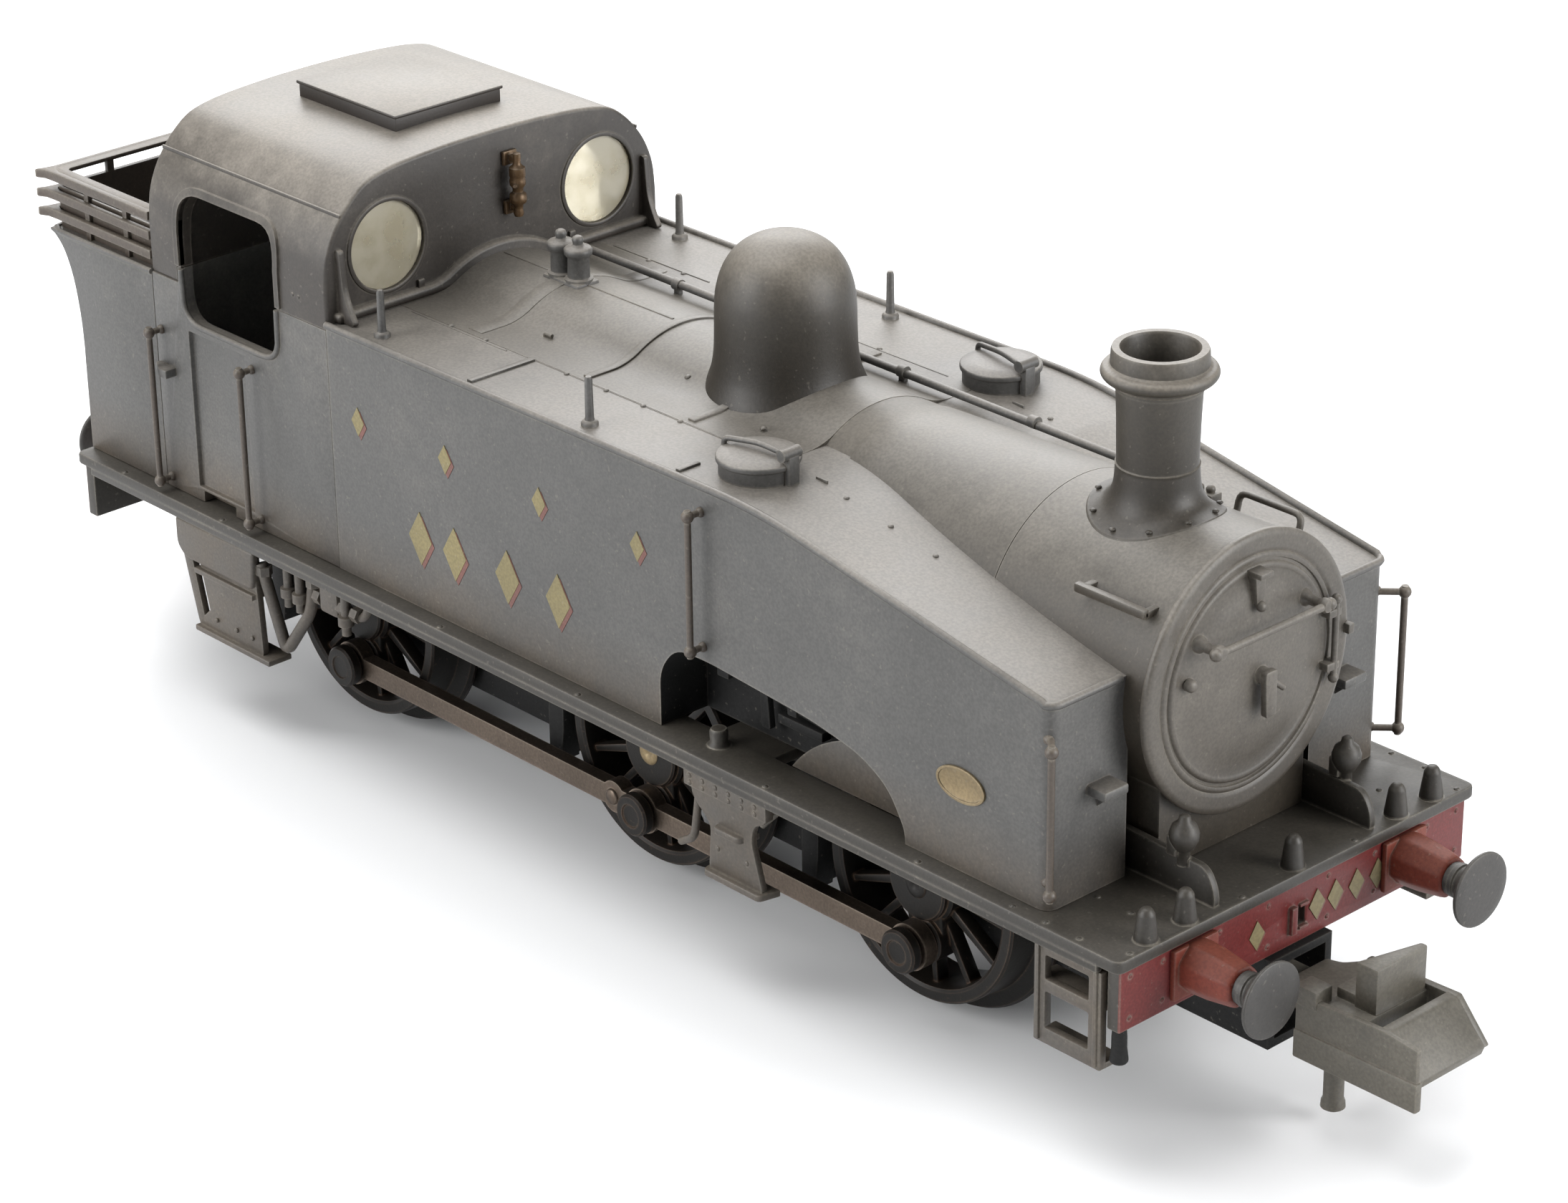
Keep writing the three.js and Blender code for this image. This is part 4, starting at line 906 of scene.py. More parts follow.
made["hatch_box"] = (roof_hatch(), "soot", "locomotive", ["roof_hatch"])
for end, x, inward in (("front", CAB_FRONT, -1), ("rear", CAB_BACK, 1)):
    made[f"panes_{end}"] = (glazing(f"panes_{end}", x, inward, WINDOWS[end]), "glazing", "locomotive",
                            [f"window_glazing_{end}"])
print("panes:", len(made["panes_front"][0].data.polygons), "faces")

# %% [markdown]
# Behind the cab the bunker's back sheet flares out at the top. Its side outline is pulled
# across the engine, and a smaller outline cuts the pocket for the coal out of it.

# %% Bunker
def bunker():
    back = flowing([(-30.75, 13.4), (-30.75, 14.2), (-30.85, 15.5), (-31.15, 17.0), (-31.65, 18.1), (-32.25, 18.68),
                    (-32.58, 18.78)], 4)
    inside = flowing([(-30.15, 14), (-30.25, 15.4), (-30.6, 17.1), (-31.15, 18.3), (-31.6, 19.3)], 3)
    body = slab("bunker_sheet", "xz", [(-25.17, 9.25), (-30.75, 9.25)] + back + [(-32.6, 18.93), (-25.17, 18.93)],
                -BODY_Y, BODY_Y)
    cut(body, slab("pocket", "xz", [(-25.8, 19.3), (-25.8, 14)] + inside, -8.15, 8.15))
    soften(body, 0.08, 2, 40)
    half = [(-25.2, 8.72), (-31.9, 8.72), (-32.45, 8.5), (-32.55, 8.1)]
    lip = wire("lip", [(x, -y, 18.9) for x, y in half] + [(x, y, 18.9) for x, y in half[::-1]], 0.13, sides=2)
    iron = [(0, 18.8), (0.26, 18.8), (0.2, 19.5), (0, 19.6)]
    lamp = [turned("lamp_iron", "z", iron, -32.2, y, 12) for y in (-2.6, 2.6)]
    heads = [(-30.75, y, z) for y in (-8.2, 8.2) for z in (10, 11.4, 12.8)]
    return joined("bunker_sheet", body, lip, *lamp, rivets("bunker_rivets", heads, (-1, 0, 0), 0.12))


made["bunker_sheet"] = (bunker(), "charcoal", "locomotive", ["bunker"])
print("bunker:", len(made["bunker_sheet"][0].data.polygons), "faces")

# %% [markdown]
# Three bars, bent round the bunker with swept corner ends, carry the coal higher. Each is
# a flat band, so only its outer and inner half lines are written and the rest is mirrored.

# %% Bunker rails
def round_bunker(outer, inner):
    """A band round the bunker, from the left half of its outer and of its inner line."""
    return (outer + [(x, -y) for x, y in outer[::-1]]
            + [(x, -y) for x, y in inner] + inner[::-1])


def rails():
    bar = round_bunker([(-25.2, 8.75), (-32.0, 8.75), (-32.6, 8.78), (-33.05, 9.0), (-32.88, 8.6), (-32.8, 8.2)],
                       [(-25.2, 8.45), (-32.0, 8.45), (-32.4, 8.3), (-32.52, 7.9)])
    bars = [soften(slab("rail_bar", "xy", bar, z, z + 0.42), 0.07) for z in (19.4, 20.25, 21.1)]
    ledge = round_bunker([(-25.2, 8.5), (-32.4, 8.5), (-32.6, 8.3)], [(-25.2, 8.0), (-31.9, 8.0), (-32.05, 7.85)])
    bars.append(soften(slab("rail_ledge", "xy", ledge, 21.36, 21.5), 0.05))
    sheet = round_bunker([(-25.2, 8.32), (-32.3, 8.32), (-32.45, 8.2)], [(-25.2, 8.22), (-32.2, 8.22), (-32.3, 8.12)])
    bars.append(slab("coal_plate", "xy", sheet, 18.85, 20.75))
    posts = [block("post", x, x + 0.32, s * 8.38 - 0.13, s * 8.38 + 0.13, 18.9, 21.45, 0.05)
             for x in (-27.4, -30.2) for s in (-1, 1)]
    posts += [block("post", -32.56, -32.32, y - 0.18, y + 0.18, 18.9, 21.45, 0.05) for y in (-5.6, 0, 5.6)]
    return joined("bunker_rails", *bars, *posts)


made["bunker_rails"] = (rails(), "rail", "locomotive", ["coal_rails"])
print("rails:", len(made["bunker_rails"][0].data.polygons), "faces")

# %% [markdown]
# The coal is a bed with broken lumps on it. One lump is dented by random moves of its
# corners and then copied, turned and sized anew for each place. The random numbers start
# from a fixed seed, so the heap is the same on every run.

# %% Coal
COAL_SEED, COAL_ROWS, LUMPS_IN_A_ROW = 7, 6, 14


def coal():
    chance = random.Random(COAL_SEED)
    bed = slab("coal_bed", "xz", [(-25.86, 18.3), (-25.86, 14.05), (-30.08, 14.05), (-30.24, 15.6),
                                  (-30.54, 17.4), (-30.95, 18.2), (-31.0, 18.3)], -8.08, 8.08)
    clear()
    bpy.ops.mesh.primitive_ico_sphere_add(subdivisions=2, radius=MM)
    lump = started("lump")
    for corner in lump.data.vertices:
        corner.co *= 0.8 + 0.35 * chance.random()
    applied(lump, "BEVEL", width=0.05 * MM, segments=1)
    lumps = []
    for row in range(COAL_ROWS):
        for k in range(LUMPS_IN_A_ROW):
            one = copied(lump, "lump")
            size = 0.5 + 0.42 * chance.random()
            place = Vector((-26.3 - 0.93 * row + 0.25 * chance.random(), -7.5 + 1.14 * k + 0.3 * chance.random(),
                            19.35 - 0.2 * row + 0.35 * chance.random()))
            place.y = max(-7.45, min(7.45, place.y))
            turn = Matrix.Rotation(6.28 * chance.random(), 4, Vector((chance.random(), chance.random(), 1)))
            one.data.transform(moved(place) @ turn @ Matrix.Diagonal((size, size * 1.15, size * 0.8, 1)))
            lumps.append(one)
    bpy.data.objects.remove(lump)
    return smooth(joined("coal_heap", bed, *lumps), 20)


made["coal_heap"] = (coal(), "coal", "locomotive", ["coal_load"])
print("lumps:", COAL_ROWS * LUMPS_IN_A_ROW)

# %% [markdown]
# Handrails are plain wires held off the sheet by short stalks with knobs. Each is made
# for the right side and mirrored to the left, as the steps are after them.

# %% Handrails
def both(name, piece, slot, node):
    made[name + "_right"] = (copied(piece, name + "_right"), slot, "locomotive", [node + "_right"])
    made[name + "_left"] = (other_side(piece, name + "_left"), slot, "locomotive", [node + "_left"])
    bpy.data.objects.remove(piece)


def handrail(x, z0, z1, dx=0, dy=-0.63, y=-BODY_Y - 0.02):
    rail = wire("rail", [(x + dx, y + dy, z0 - 0.25), (x + dx, y + dy, z1 + 0.25)], 0.135)
    knobs = []
    for z in (z0, z1):
        knobs.append(wire("stalk", [(x, y + 0.1, z), (x + dx, y + dy, z)], 0.13))
        knobs.append(ball("knob", x + dx, y + dy, z, 0.25))
        knobs.append(ball("root", x, y, z, 0.2))
    return joined("handrail", rail, *knobs)


both("grab_tank_middle", handrail(9.1, 13.4, 18.85), "rail", "handrail_tank_middle")
both("grab_tank_front", handrail(26.62, 10.35, 15.9, 0.78, -0.665, -8.58), "rail", "handrail_tank_front")
both("grab_cab_front", handrail(-18.45, 9.75, 16.45), "rail", "handrail_cab_front")
both("grab_cab_rear", handrail(-24.75, 9.75, 16.45), "rail", "handrail_cab_rear")
print("handrails:", sum(name.startswith("grab") for name in made))

# %% [markdown]
# The front steps are an open frame and the middle ones a waisted plate. Both hang from the
# running plate, and their treads are plates laid flat on them.

# %% Front and middle steps
def front_steps():
    plate = slab("step_plate", "xz", [(26.8, 4.5), (30.0, 4.5), (30.0, 8.4), (26.8, 8.4)], -9.35, -9.0)
    cut(plate, block("low", 27.35, 29.4, -10, -8, 5.15, 6.6), block("high", 27.35, 29.4, -10, -8, 7.1, 8.05))
    treads = [block("tread", 26.8, 30.0, -9.1, -8.2, z, z + 0.25, 0.05) for z in (4.5, 6.8)]
    ribs = [block("rib", x, x + 0.16, -9.45, -9.3, 4.6, 8.4, 0.04) for x in (26.95, 29.7)]
    return joined("steps", soften(plate, 0.06), *treads, *ribs)


def middle_steps():
    outline = eased([(8.7, 8.4), (8.9, 7.3), (9.9, 6.5), (9.75, 4.45), (12.8, 4.45), (12.15, 6.6), (12.3, 7.3),
                     (13.0, 7.6), (13.0, 8.4)], 0.35, 3)
    plate = soften(slab("step_plate", "xz", outline, -9.3, -9.0), 0.06)
    treads = [soften(slab("tread", "xy", eased([(a, -8.6), (a + 0.2, -9.55), (b - 0.2, -9.55), (b, -8.6)], 0.2, 3),
                          z, z + 0.28), 0.06) for a, b, z in ((9.5, 13.0, 4.35), (10.1, 11.9, 6.35))]
    pad = block("pad", 8.55, 13.1, -9.42, -9.0, 7.75, 8.45, 0.06)
    pipe = wire("step_pipe", eased([(9.0, -9.0, 7.6), (9.0, -9.3, 5.6), (7.9, -9.0, 4.9)], 0.4, 4), 0.16)
    stay = wire("step_stay", [(12.6, -9.15, 7.4), (13.4, -8.6, 8.4)], 0.14)
    heads = [(8.9 + 0.72 * k, -9.42, z) for k in range(6) for z in (8.22, 7.93)]
    heads += [(x, -9.3, 5.6) for x in (10.3, 11.9)]
    return joined("steps", plate, *treads, pad, pipe, stay, rivets("step_rivets", heads, (0, -1, 0), 0.12))


both("step_front", front_steps(), "charcoal", "front_steps")
both("step_middle", middle_steps(), "charcoal", "middle_steps")
print("front steps:", len(made["step_front_right"][0].data.polygons), "faces each")

# %% [markdown]
# The rear steps hang below the cab with a guard over them, and the injector stands ahead
# of them: a V of thick pipe, a block, an elbow and a few turned valves and nuts.

# %% Rear steps and injector
def rear_steps():
    outline = eased([(-23.6, 8.4), (-23.6, 6.9), (-22.7, 3.6), (-18.2, 3.6), (-18.5, 8.4)], 0.3, 3)
    plate = slab("step_plate", "xz", outline, -9.3, -9.0)
    shield = eased([(-23.75, 8.45), (-23.75, 7.2), (-23.2, 6.7), (-18.45, 6.7), (-18.3, 8.45)], 0.3, 3)
    guard = soften(slab("toe_guard", "xz", shield, -9.5, -9.1), 0.12, 3)
    cut(plate, slab("slot", "xz", [(-23.0, 6.9), (-22.35, 4.2), (-21.9, 4.6), (-22.5, 7.0)], -10, -8))
    soften(plate, 0.06)
    treads = [block("tread", a, b, -9.5, -8.3, z, z + 0.25, 0.05)
              for a, b, z in ((-22.8, -17.6, 3.45), (-22.6, -18.5, 6.2))]
    vee = wire("injector_pipe", eased([(-18.3, -9.05, 7.9), (-17.2, -8.8, 4.1), (-15.6, -8.6, 6.4),
                                       (-15.2, -8.6, 8.35)], 0.5, 5), 0.26)
    nuts = [disc("nut", "z", 0.36, z, z + 0.4, x, y, 6) for x, y, z in ((-18.2, -9.0, 7.4), (-15.25, -8.6, 7.7))]
    valve = [(0, 6.3), (0.2, 6.3), (0.2, 6.7), (0.34, 6.75), (0.34, 7.15), (0.2, 7.2), (0.2, 8.4), (0, 8.4)]
    nuts += [turned("valve", "z", valve, x, -8.75, 16) for x in (-16.9, -16.1, -13.0)]
    nuts += [turned("union", "x", [(0, x), (0.33, x), (0.33, x + 0.4), (0, x + 0.4)], -8.6, 7.35, 6)
             for x in (-15.1, -13.5, -12.6)]
    body = block("injector", -14.6, -13.4, -8.9, -8.2, 6.9, 8.3, 0.15)
    elbow = wire("elbow", eased([(-13.5, -8.55, 7.4), (-12.0, -8.55, 7.2), (-11.6, -8.4, 8.35)], 0.5, 4), 0.2)
    heads = [(x, -9.35, z) for x in (-21.4, -20.0, -18.9) for z in (4.3, 7.6)]
    return joined("steps", plate, guard, *treads, vee, *nuts, body, elbow,
                  rivets("step_rivets", heads, (0, -1, 0), 0.12))


both("step_rear", rear_steps(), "charcoal", "rear_steps")
print("body pieces:", len(made))

# %% [markdown]
# A wheel is a tyre with its flange, a hub, fourteen thin spokes and a web that carries the
# crankpin. It is built once about the axle, facing right. The web's outline runs round
# two discs, one at the axle and one at the crankpin.

# %% One wheel
CRANK = (0.33, -2.21)
SPOKES = 14


def hull_of_two(centre, r0, r1, steps=14):
    """The outline round two discs, one at the axle and one at a point away from it."""
    cx, cz = centre
    d, way = math.hypot(cx, cz), math.atan2(cz, cx)
    lean = math.acos((r0 - r1) / d)
    far = [(cx + r1 * math.cos(way + a), cz + r1 * math.sin(way + a))
           for a in [-lean + 2 * lean * k / steps for k in range(steps + 1)]]
    near = [(r0 * math.cos(way + a), r0 * math.sin(way + a))
            for a in [lean + (2 * math.pi - 2 * lean) * k / steps for k in range(steps + 1)]]
    return far + near


def wheel():
    tyre = [(4.12, -3.72), (5.42, -3.72), (5.53, -3.8), (5.55, -3.95), (5.45, -4.12), (5.1, -4.24), (4.86, -4.32),
            (4.8, -4.45), (4.78, -5.6), (4.7, -5.69), (4.32, -5.7), (4.2, -5.62), (4.12, -5.3)]
    parts = [smooth(turned("wheel", "y", tyre, sides=96, closed=True), 30)]
    hub = [(0, -3.6), (1.25, -3.6), (1.25, -4.4), (1.6, -4.5), (1.6, -5.5), (1.5, -5.62), (0.9, -5.66), (0, -5.66)]
    parts.append(smooth(turned("hub", "y", hub, sides=40), 30))
    spoke = soften(slab("spoke", "xz", [(1.3, -0.2), (4.3, -0.13), (4.3, 0.13), (1.3, 0.2)], -5.35, -4.75), 0.06)
    for k in range(SPOKES):
        one = copied(spoke, "spoke")
        one.data.transform(Matrix.Rotation(2 * math.pi * k / SPOKES + 0.1, 4, "Y"))
        parts.append(one)
    bpy.data.objects.remove(spoke)
    parts.append(soften(slab("web", "xz", hull_of_two(CRANK, 1.0, 0.85), -5.66, -4.6), 0.1, 3))
    for r, x, z in ((1.45, 0, 0), (0.92, *CRANK)):
        boss = [(0, -4.7), (r, -4.7), (r, -5.8), (r - 0.08, -5.88), (0, -5.88)]
        parts.append(smooth(turned("boss", "y", boss, x, z, 48), 30))
    pin = [(0, -5), (0.45, -5), (0.45, -6.68), (0.8, -6.7), (0.88, -6.77), (0.88, -7.12), (0.8, -7.21), (0.5, -7.23),
           (0.46, -7.17), (0, -7.16)]
    parts.append(smooth(turned("pin", "y", pin, *CRANK, sides=40), 30))
    return joined("wheel", *parts)


def cap():
    return turned("cap", "y", [(0, -5.6), (0.52, -5.6), (0.52, -5.9), (0.46, -5.95), (0.15, -5.95), (0.12, -5.92),
                               (0, -5.92)], sides=32)


right_wheel, right_cap = wheel(), cap()
print("wheel:", len(right_wheel.data.polygons), "faces")

# %% [markdown]
# The left wheel is the same one turned a quarter and mirrored, because the two sides of a
# real engine are set that way. Three pairs are copied to the axles, each with its caps.

# %% Wheelsets
quarter = Matrix.Rotation(math.pi / 2, 4, "Y")
turned_wheel = copied(right_wheel, "turned_wheel")
turned_wheel.data.transform(quarter)
left_wheel, left_cap = other_side(turned_wheel, "left_wheel"), other_side(right_cap, "left_cap")
wheelsets = {"front": "front_wheelset", "middle": "driving_wheelset", "rear": "rear_wheelset"}
for place, x in AXLES.items():
    at = (x, 0, AXLE_Z)
    for side, piece in (("right", right_wheel), ("left", left_wheel)):
        name = f"spoked_wheel_{place}_{side}"
        made[name] = (copied(piece, name, at), "wheel", wheelsets[place], [f"wheel_{place}_{side}"])
    name = f"axle_caps_{place}"
    caps = joined(name, copied(right_cap, "cap", at), copied(left_cap, "cap", at))
    made[name] = (caps, "brass" if place == "middle" else "wheel", wheelsets[place], [])
for spare in (right_wheel, left_wheel, turned_wheel, right_cap, left_cap):
    bpy.data.objects.remove(spare)
print("pieces so far:", len(made))

# %% [markdown]
# The coupling rod is one flat steel bar with a round eye on each crankpin and a joint
# behind the middle one. The shapes are united first, so that one bevel runs round them.

# %% Coupling rods
def coupling_rod(name, crank, sign):
    at, z = [x + crank[0] for x in AXLES.values()], AXLE_Z + crank[1]
    y0, y1 = sorted((sign * 6.0, sign * 6.6))
    bar = slab("bar", "xz", [(at[2], z - 0.45), (at[0], z - 0.45), (at[0], z + 0.45), (at[2], z + 0.45)], y0, y1)
    eyes = [disc("eye", "y", 0.94, y0, y1, x, z, 48) for x in at]
    knuckle = disc("knuckle", "y", 0.68, y0, y1, at[1] - 1.7, z, 40)
    cut(bar, *eyes, knuckle, operation="UNION")
    cut(bar, *[disc("bore", "y", 0.5, y0 - 1, y1 + 1, x, z, 32) for x in at])
    soften(bar, 0.05, 2, 50)
    pin = turned("joint_pin", "y", [(0, sign * 6.3), (0.34, sign * 6.3), (0.34, sign * 6.66), (0.28, sign * 6.72),
                                    (0, sign * 6.72)], at[1] - 1.75, z, 24)
    return joined(name, bar, pin)


made["rod_bar_right"] = (coupling_rod("rod_bar_right", CRANK, -1), "steel", "rod_right", ["coupling_rod_right"])
made["rod_bar_left"] = (coupling_rod("rod_bar_left", (CRANK[1], -CRANK[0]), 1), "steel", "rod_left",
                        ["coupling_rod_left"])
print("crank radius:", round(math.hypot(*CRANK), 2), "mm")

# %% [markdown]
# The coupler is a moulded arm: a neck, two cheeks, a sloping lip across the front and an
# upright hook between them, with a trip pin below. Plates pulled from outlines suit it.

# %% Couplers
def coupler():
    shank = block("shank", 27.78, 32.6, -0.55, 0.55, 4.15, 5.15, 0.07)
    half = [(31.4, -0.9), (32.0, -1.1), (32.6, -1.95), (35.35, -1.95)]
    neck = soften(slab("neck", "xy", eased(half + [(x, -y) for x, y in half[::-1]], 0.15, 2), 4.3, 5.55), 0.08)
    right = slab("cheek", "xz", [(32.5, 3.9), (38.02, 3.9), (38.02, 5.7), (36.5, 5.88), (32.5, 5.7)], -2.02, -1.75)
    strip = slab("cheek_strip", "xz", [(32.5, 3.2), (38.1, 3.25), (38.1, 4.4), (32.5, 4.35)], -2.1, -1.75)
    left = slab("cheek", "xz", [(32.5, 3.9), (37.3, 3.95), (37.95, 4.25), (36.6, 5.8), (32.5, 5.65)], 1.75, 2.1)
    cut(left, disc("side_hole", "y", 0.45, 1, 3, 34.2, 4.7, 24))
    lip = slab("lip", "xz", [(36.2, 5.85), (36.6, 5.8), (38.0, 4.35), (37.85, 3.95), (37.5, 4.1), (36.2, 5.35)],
               -1.8, 1.8)
    corner = block("corner", 32.5, 33.5, -2.1, -1.2, 5.4, 6.15)
    hook = slab("hook", "xy", [(34.3, -1.0), (35.3, -1.0), (35.3, 1.7), (35.0, 1.7)], 5.4, 7.35)
    tail = slab("tail", "xy", [(33.4, -0.9), (34.6, -0.9), (34.9, 0.9), (33.4, 0.9)], 5.4, 5.95)
    for piece in (right, strip, left, lip, corner, hook, tail):
        soften(piece, 0.08)
    pin = [(0, 0.55), (0.36, 0.55), (0.46, 0.62), (0.44, 0.85), (0.38, 1.0), (0.38, 4.5), (0, 4.5)]
    trip = turned("trip", "z", pin, 33.0, -0.3, 24)
    return joined("coupler_arm", shank, neck, right, strip, left, lip, corner, hook, tail, trip)


arm = coupler()
made["coupler_arm_rear"] = (other_end(arm, "coupler_arm_rear"), "coupler", "rear_coupler_arm", ["coupler_rear"])
made["coupler_arm_front"] = (copied(arm, "coupler_arm_front"), "coupler", "front_coupler_arm", ["coupler_front"])
bpy.data.objects.remove(arm)
print("coupler:", len(made["coupler_arm_front"][0].data.polygons), "faces each")

# %% [markdown]
# Dark frame plates stand behind the wheels with room for the axles, and small guards hang
# behind the front beam. Both are plates and turned parts again, in plain black.

# %% Frames and guards
def guard_pegs():
    peg = flowing([(0, 4.9), (0.3, 4.92), (0.33, 5.1), (0.28, 5.5), (0.25, 6.3), (0, 6.3)], 2)
    return joined("guard_pegs", *[turned("guard", "z", peg, 30.45, s * 8.85, 16) for s in (-1, 1)])


def inner_frames():
    outline = [(-24.5, 9.15), (-24.5, 2.7), (24.3, 2.7), (24.3, 9.15)]
    plates = []
    for s in (-1, 1):
        plate = slab("frame", "xz", outline, s * 3.42 - 0.1, s * 3.42 + 0.1)
        cut(plate, *[disc("axle_room", "y", 1.45, -4, 4, x, AXLE_Z, 32) for x in AXLES.values()],
            *[disc("lightening", "y", 0.9, -4, 4, x, 5.6, 32) for x in (-6.5, 8.2)])
        plates.append(soften(plate, 0.04))
    return joined("inner_frames", *plates)


made["guard_pegs"] = (guard_pegs(), "black", "locomotive", [])
made["inner_frames"] = (inner_frames(), "black", "locomotive", [])
print("frame plates:", len(made["inner_frames"][0].data.polygons), "faces")

# %% [markdown]
# The keeper plate under the engine has its shape already. A copy of it is merged, its flat
# faces are joined up, and its edges are rounded. Screw heads finish it.

# %% Keeper plate and screws
def keeper():
    plate = copied(frame["nodes"]["keeper_plate"], "keeper_moulding")
    for key in list(plate.keys()):
        del plate[key]
    plate.parent = None
    edit(plate, lambda: bpy.ops.mesh.remove_doubles(threshold=WELD),
         lambda: bpy.ops.mesh.dissolve_limited(angle_limit=math.radians(1)))
    return soften(plate, 0.06)


def screws():
    heads = []
    for x in (-21.5, -7.5, 9.5, 23.2):
        head = turned("screw", "z", [(0, 2.7), (0.75, 2.7), (0.75, 2.52), (0.6, 2.42), (0, 2.4)], x, 0, 28)
        cut(head, block("screw_slot", x - 1, x + 1, -0.09, 0.09, 2.3, 2.5))
        heads.append(head)
    return joined("keeper_screws", *heads)


made["keeper_moulding"] = (keeper(), "black", "locomotive", ["keeper_plate"])
made["keeper_screws"] = (screws(), "steel", "locomotive", [])
print("keeper:", len(made["keeper_moulding"][0].data.polygons), "faces")

# %% [markdown]
# Where the engine would carry its owner's letters and numbers, plain lozenges stand in the
# same places, each a very thin gold shape over a red shadow a little to the side. They
# are plates too, so they keep crisp edges and come out in the mesh.

# %% Marks
MARKS_SMALL = [(-11.4, 16.25), (-5.9, 16.3), (-0.2, 16.3), (5.5, 16.3)]
MARKS_LARGE = [(-7.7, 12.35), (-5.55, 12.35), (-2.3, 12.45), (0.75, 12.45)]
MARKS_BEAM = [(-2.2, 7.4, 0.95), (1.0, 7.45, 1), (2.0, 7.45, 1), (3.15, 7.45, 1), (4.3, 7.45, 1)]


def lozenge(u, v, half_u, half_v):
    return [(u - half_u, v), (u, v - half_v), (u + half_u, v), (u, v + half_v)]


def marks(name, shift, lift):
    parts = []
    for places, half_u, half_v in ((MARKS_SMALL, 0.4, 0.62), (MARKS_LARGE, 0.72, 1.15)):
        parts += [slab("mark", "xz", lozenge(x + shift, z - shift, half_u, half_v), -BODY_Y - lift, -BODY_Y + 0.01)
                  for x, z in places]
    parts += [other_side(piece, "mark") for piece in list(parts)]
    for y, z, size in MARKS_BEAM:
        parts.append(slab("mark", "yz", lozenge(y + shift * 0.5, z - shift * 0.5, 0.42 * size, 0.62 * size),
                          BEAM_FACE - 0.01, BEAM_FACE + lift))
    return joined(name, *parts)


made["mark_gold"] = (marks("mark_gold", 0, 0.035), "brass", "locomotive", [])
made["mark_shadow"] = (marks("mark_shadow", 0.14, 0.02), "red", "locomotive", [])
print("marks on each tank:", len(MARKS_SMALL) + len(MARKS_LARGE))

# %% [markdown]
# A blank oval plate with a raised rim sits on each tank. Its field is cut into an oval
# plate, which leaves the rim standing.

# %% Oval plates
def oval(half_u, half_v):
    return [(22.6 + half_u * math.cos(a), 12.7 + half_v * math.sin(a))
            for a in [k * math.pi / 20 for k in range(40)]]


def oval_plate():
    plate = slab("plate", "xz", oval(1.2, 0.68), -BODY_Y - 0.09, -BODY_Y + 0.02)
    cut(plate, slab("field", "xz", oval(1.08, 0.56), -BODY_Y - 0.2, -BODY_Y - 0.045))
    soften(plate, 0.02)
    return joined("maker_plate", plate, other_side(plate, "maker_plate_left"))


made["maker_plate"] = (oval_plate(), "brass", "locomotive", [])
print("pieces in all:", len(made))

# %% [markdown]
# Shader nodes are wired in code with a few short helpers: one adds a node with its inputs
# set or linked, and the others add the arithmetic and the colour mixes used most.

# %% Helpers for shader nodes
def add(tree, kind, inputs=None, **settings):
    node = tree.nodes.new(kind)
    for key, value in settings.items():
        setattr(node, key, value)
    for key, value in (inputs or {}).items():
        if isinstance(value, bpy.types.NodeSocket):
            tree.links.new(value, node.inputs[key])
        else:
            node.inputs[key].default_value = value
    return node


def math_node(tree, operation, a, b=0.0, clamp=False):
    return add(tree, "ShaderNodeMath", {0: a, 1: b}, operation=operation, use_clamp=clamp).outputs[0]


def mixed(tree, factor, a, b, blend="MIX"):
    return add(tree, "ShaderNodeMix", {0: factor, 6: a, 7: b}, data_type="RGBA", blend_type=blend).outputs[2]


def spread(tree, value, low, high, to_low=0.0, to_high=1.0):
    return add(tree, "ShaderNodeMapRange", {0: value, 1: low, 2: high, 3: to_low, 4: to_high},
               interpolation_type="SMOOTHSTEP").outputs[0]


print("node helpers: add, math_node, mixed, spread")

# %% [markdown]
# The finish is matt paint under years of soot. One node group makes it for every painted
# piece: dust settles where the surface faces up, brown grime rises from the bottom edges,
# paint is worn pale along the corners, and a fine grain breaks up the whole. On the dome
# and the chimney the same darkening from the bottom is soot with painted shade. Noise scales
# are per metre, so on a small model they are in the hundreds and thousands.

# %% The weathered coat, a shared node group
PATCHES, CLOUDS, GRAIN, SPECKS = 210.0, 1300.0, 8200.0, 5200.0
WORN_CORNER = 0.00016


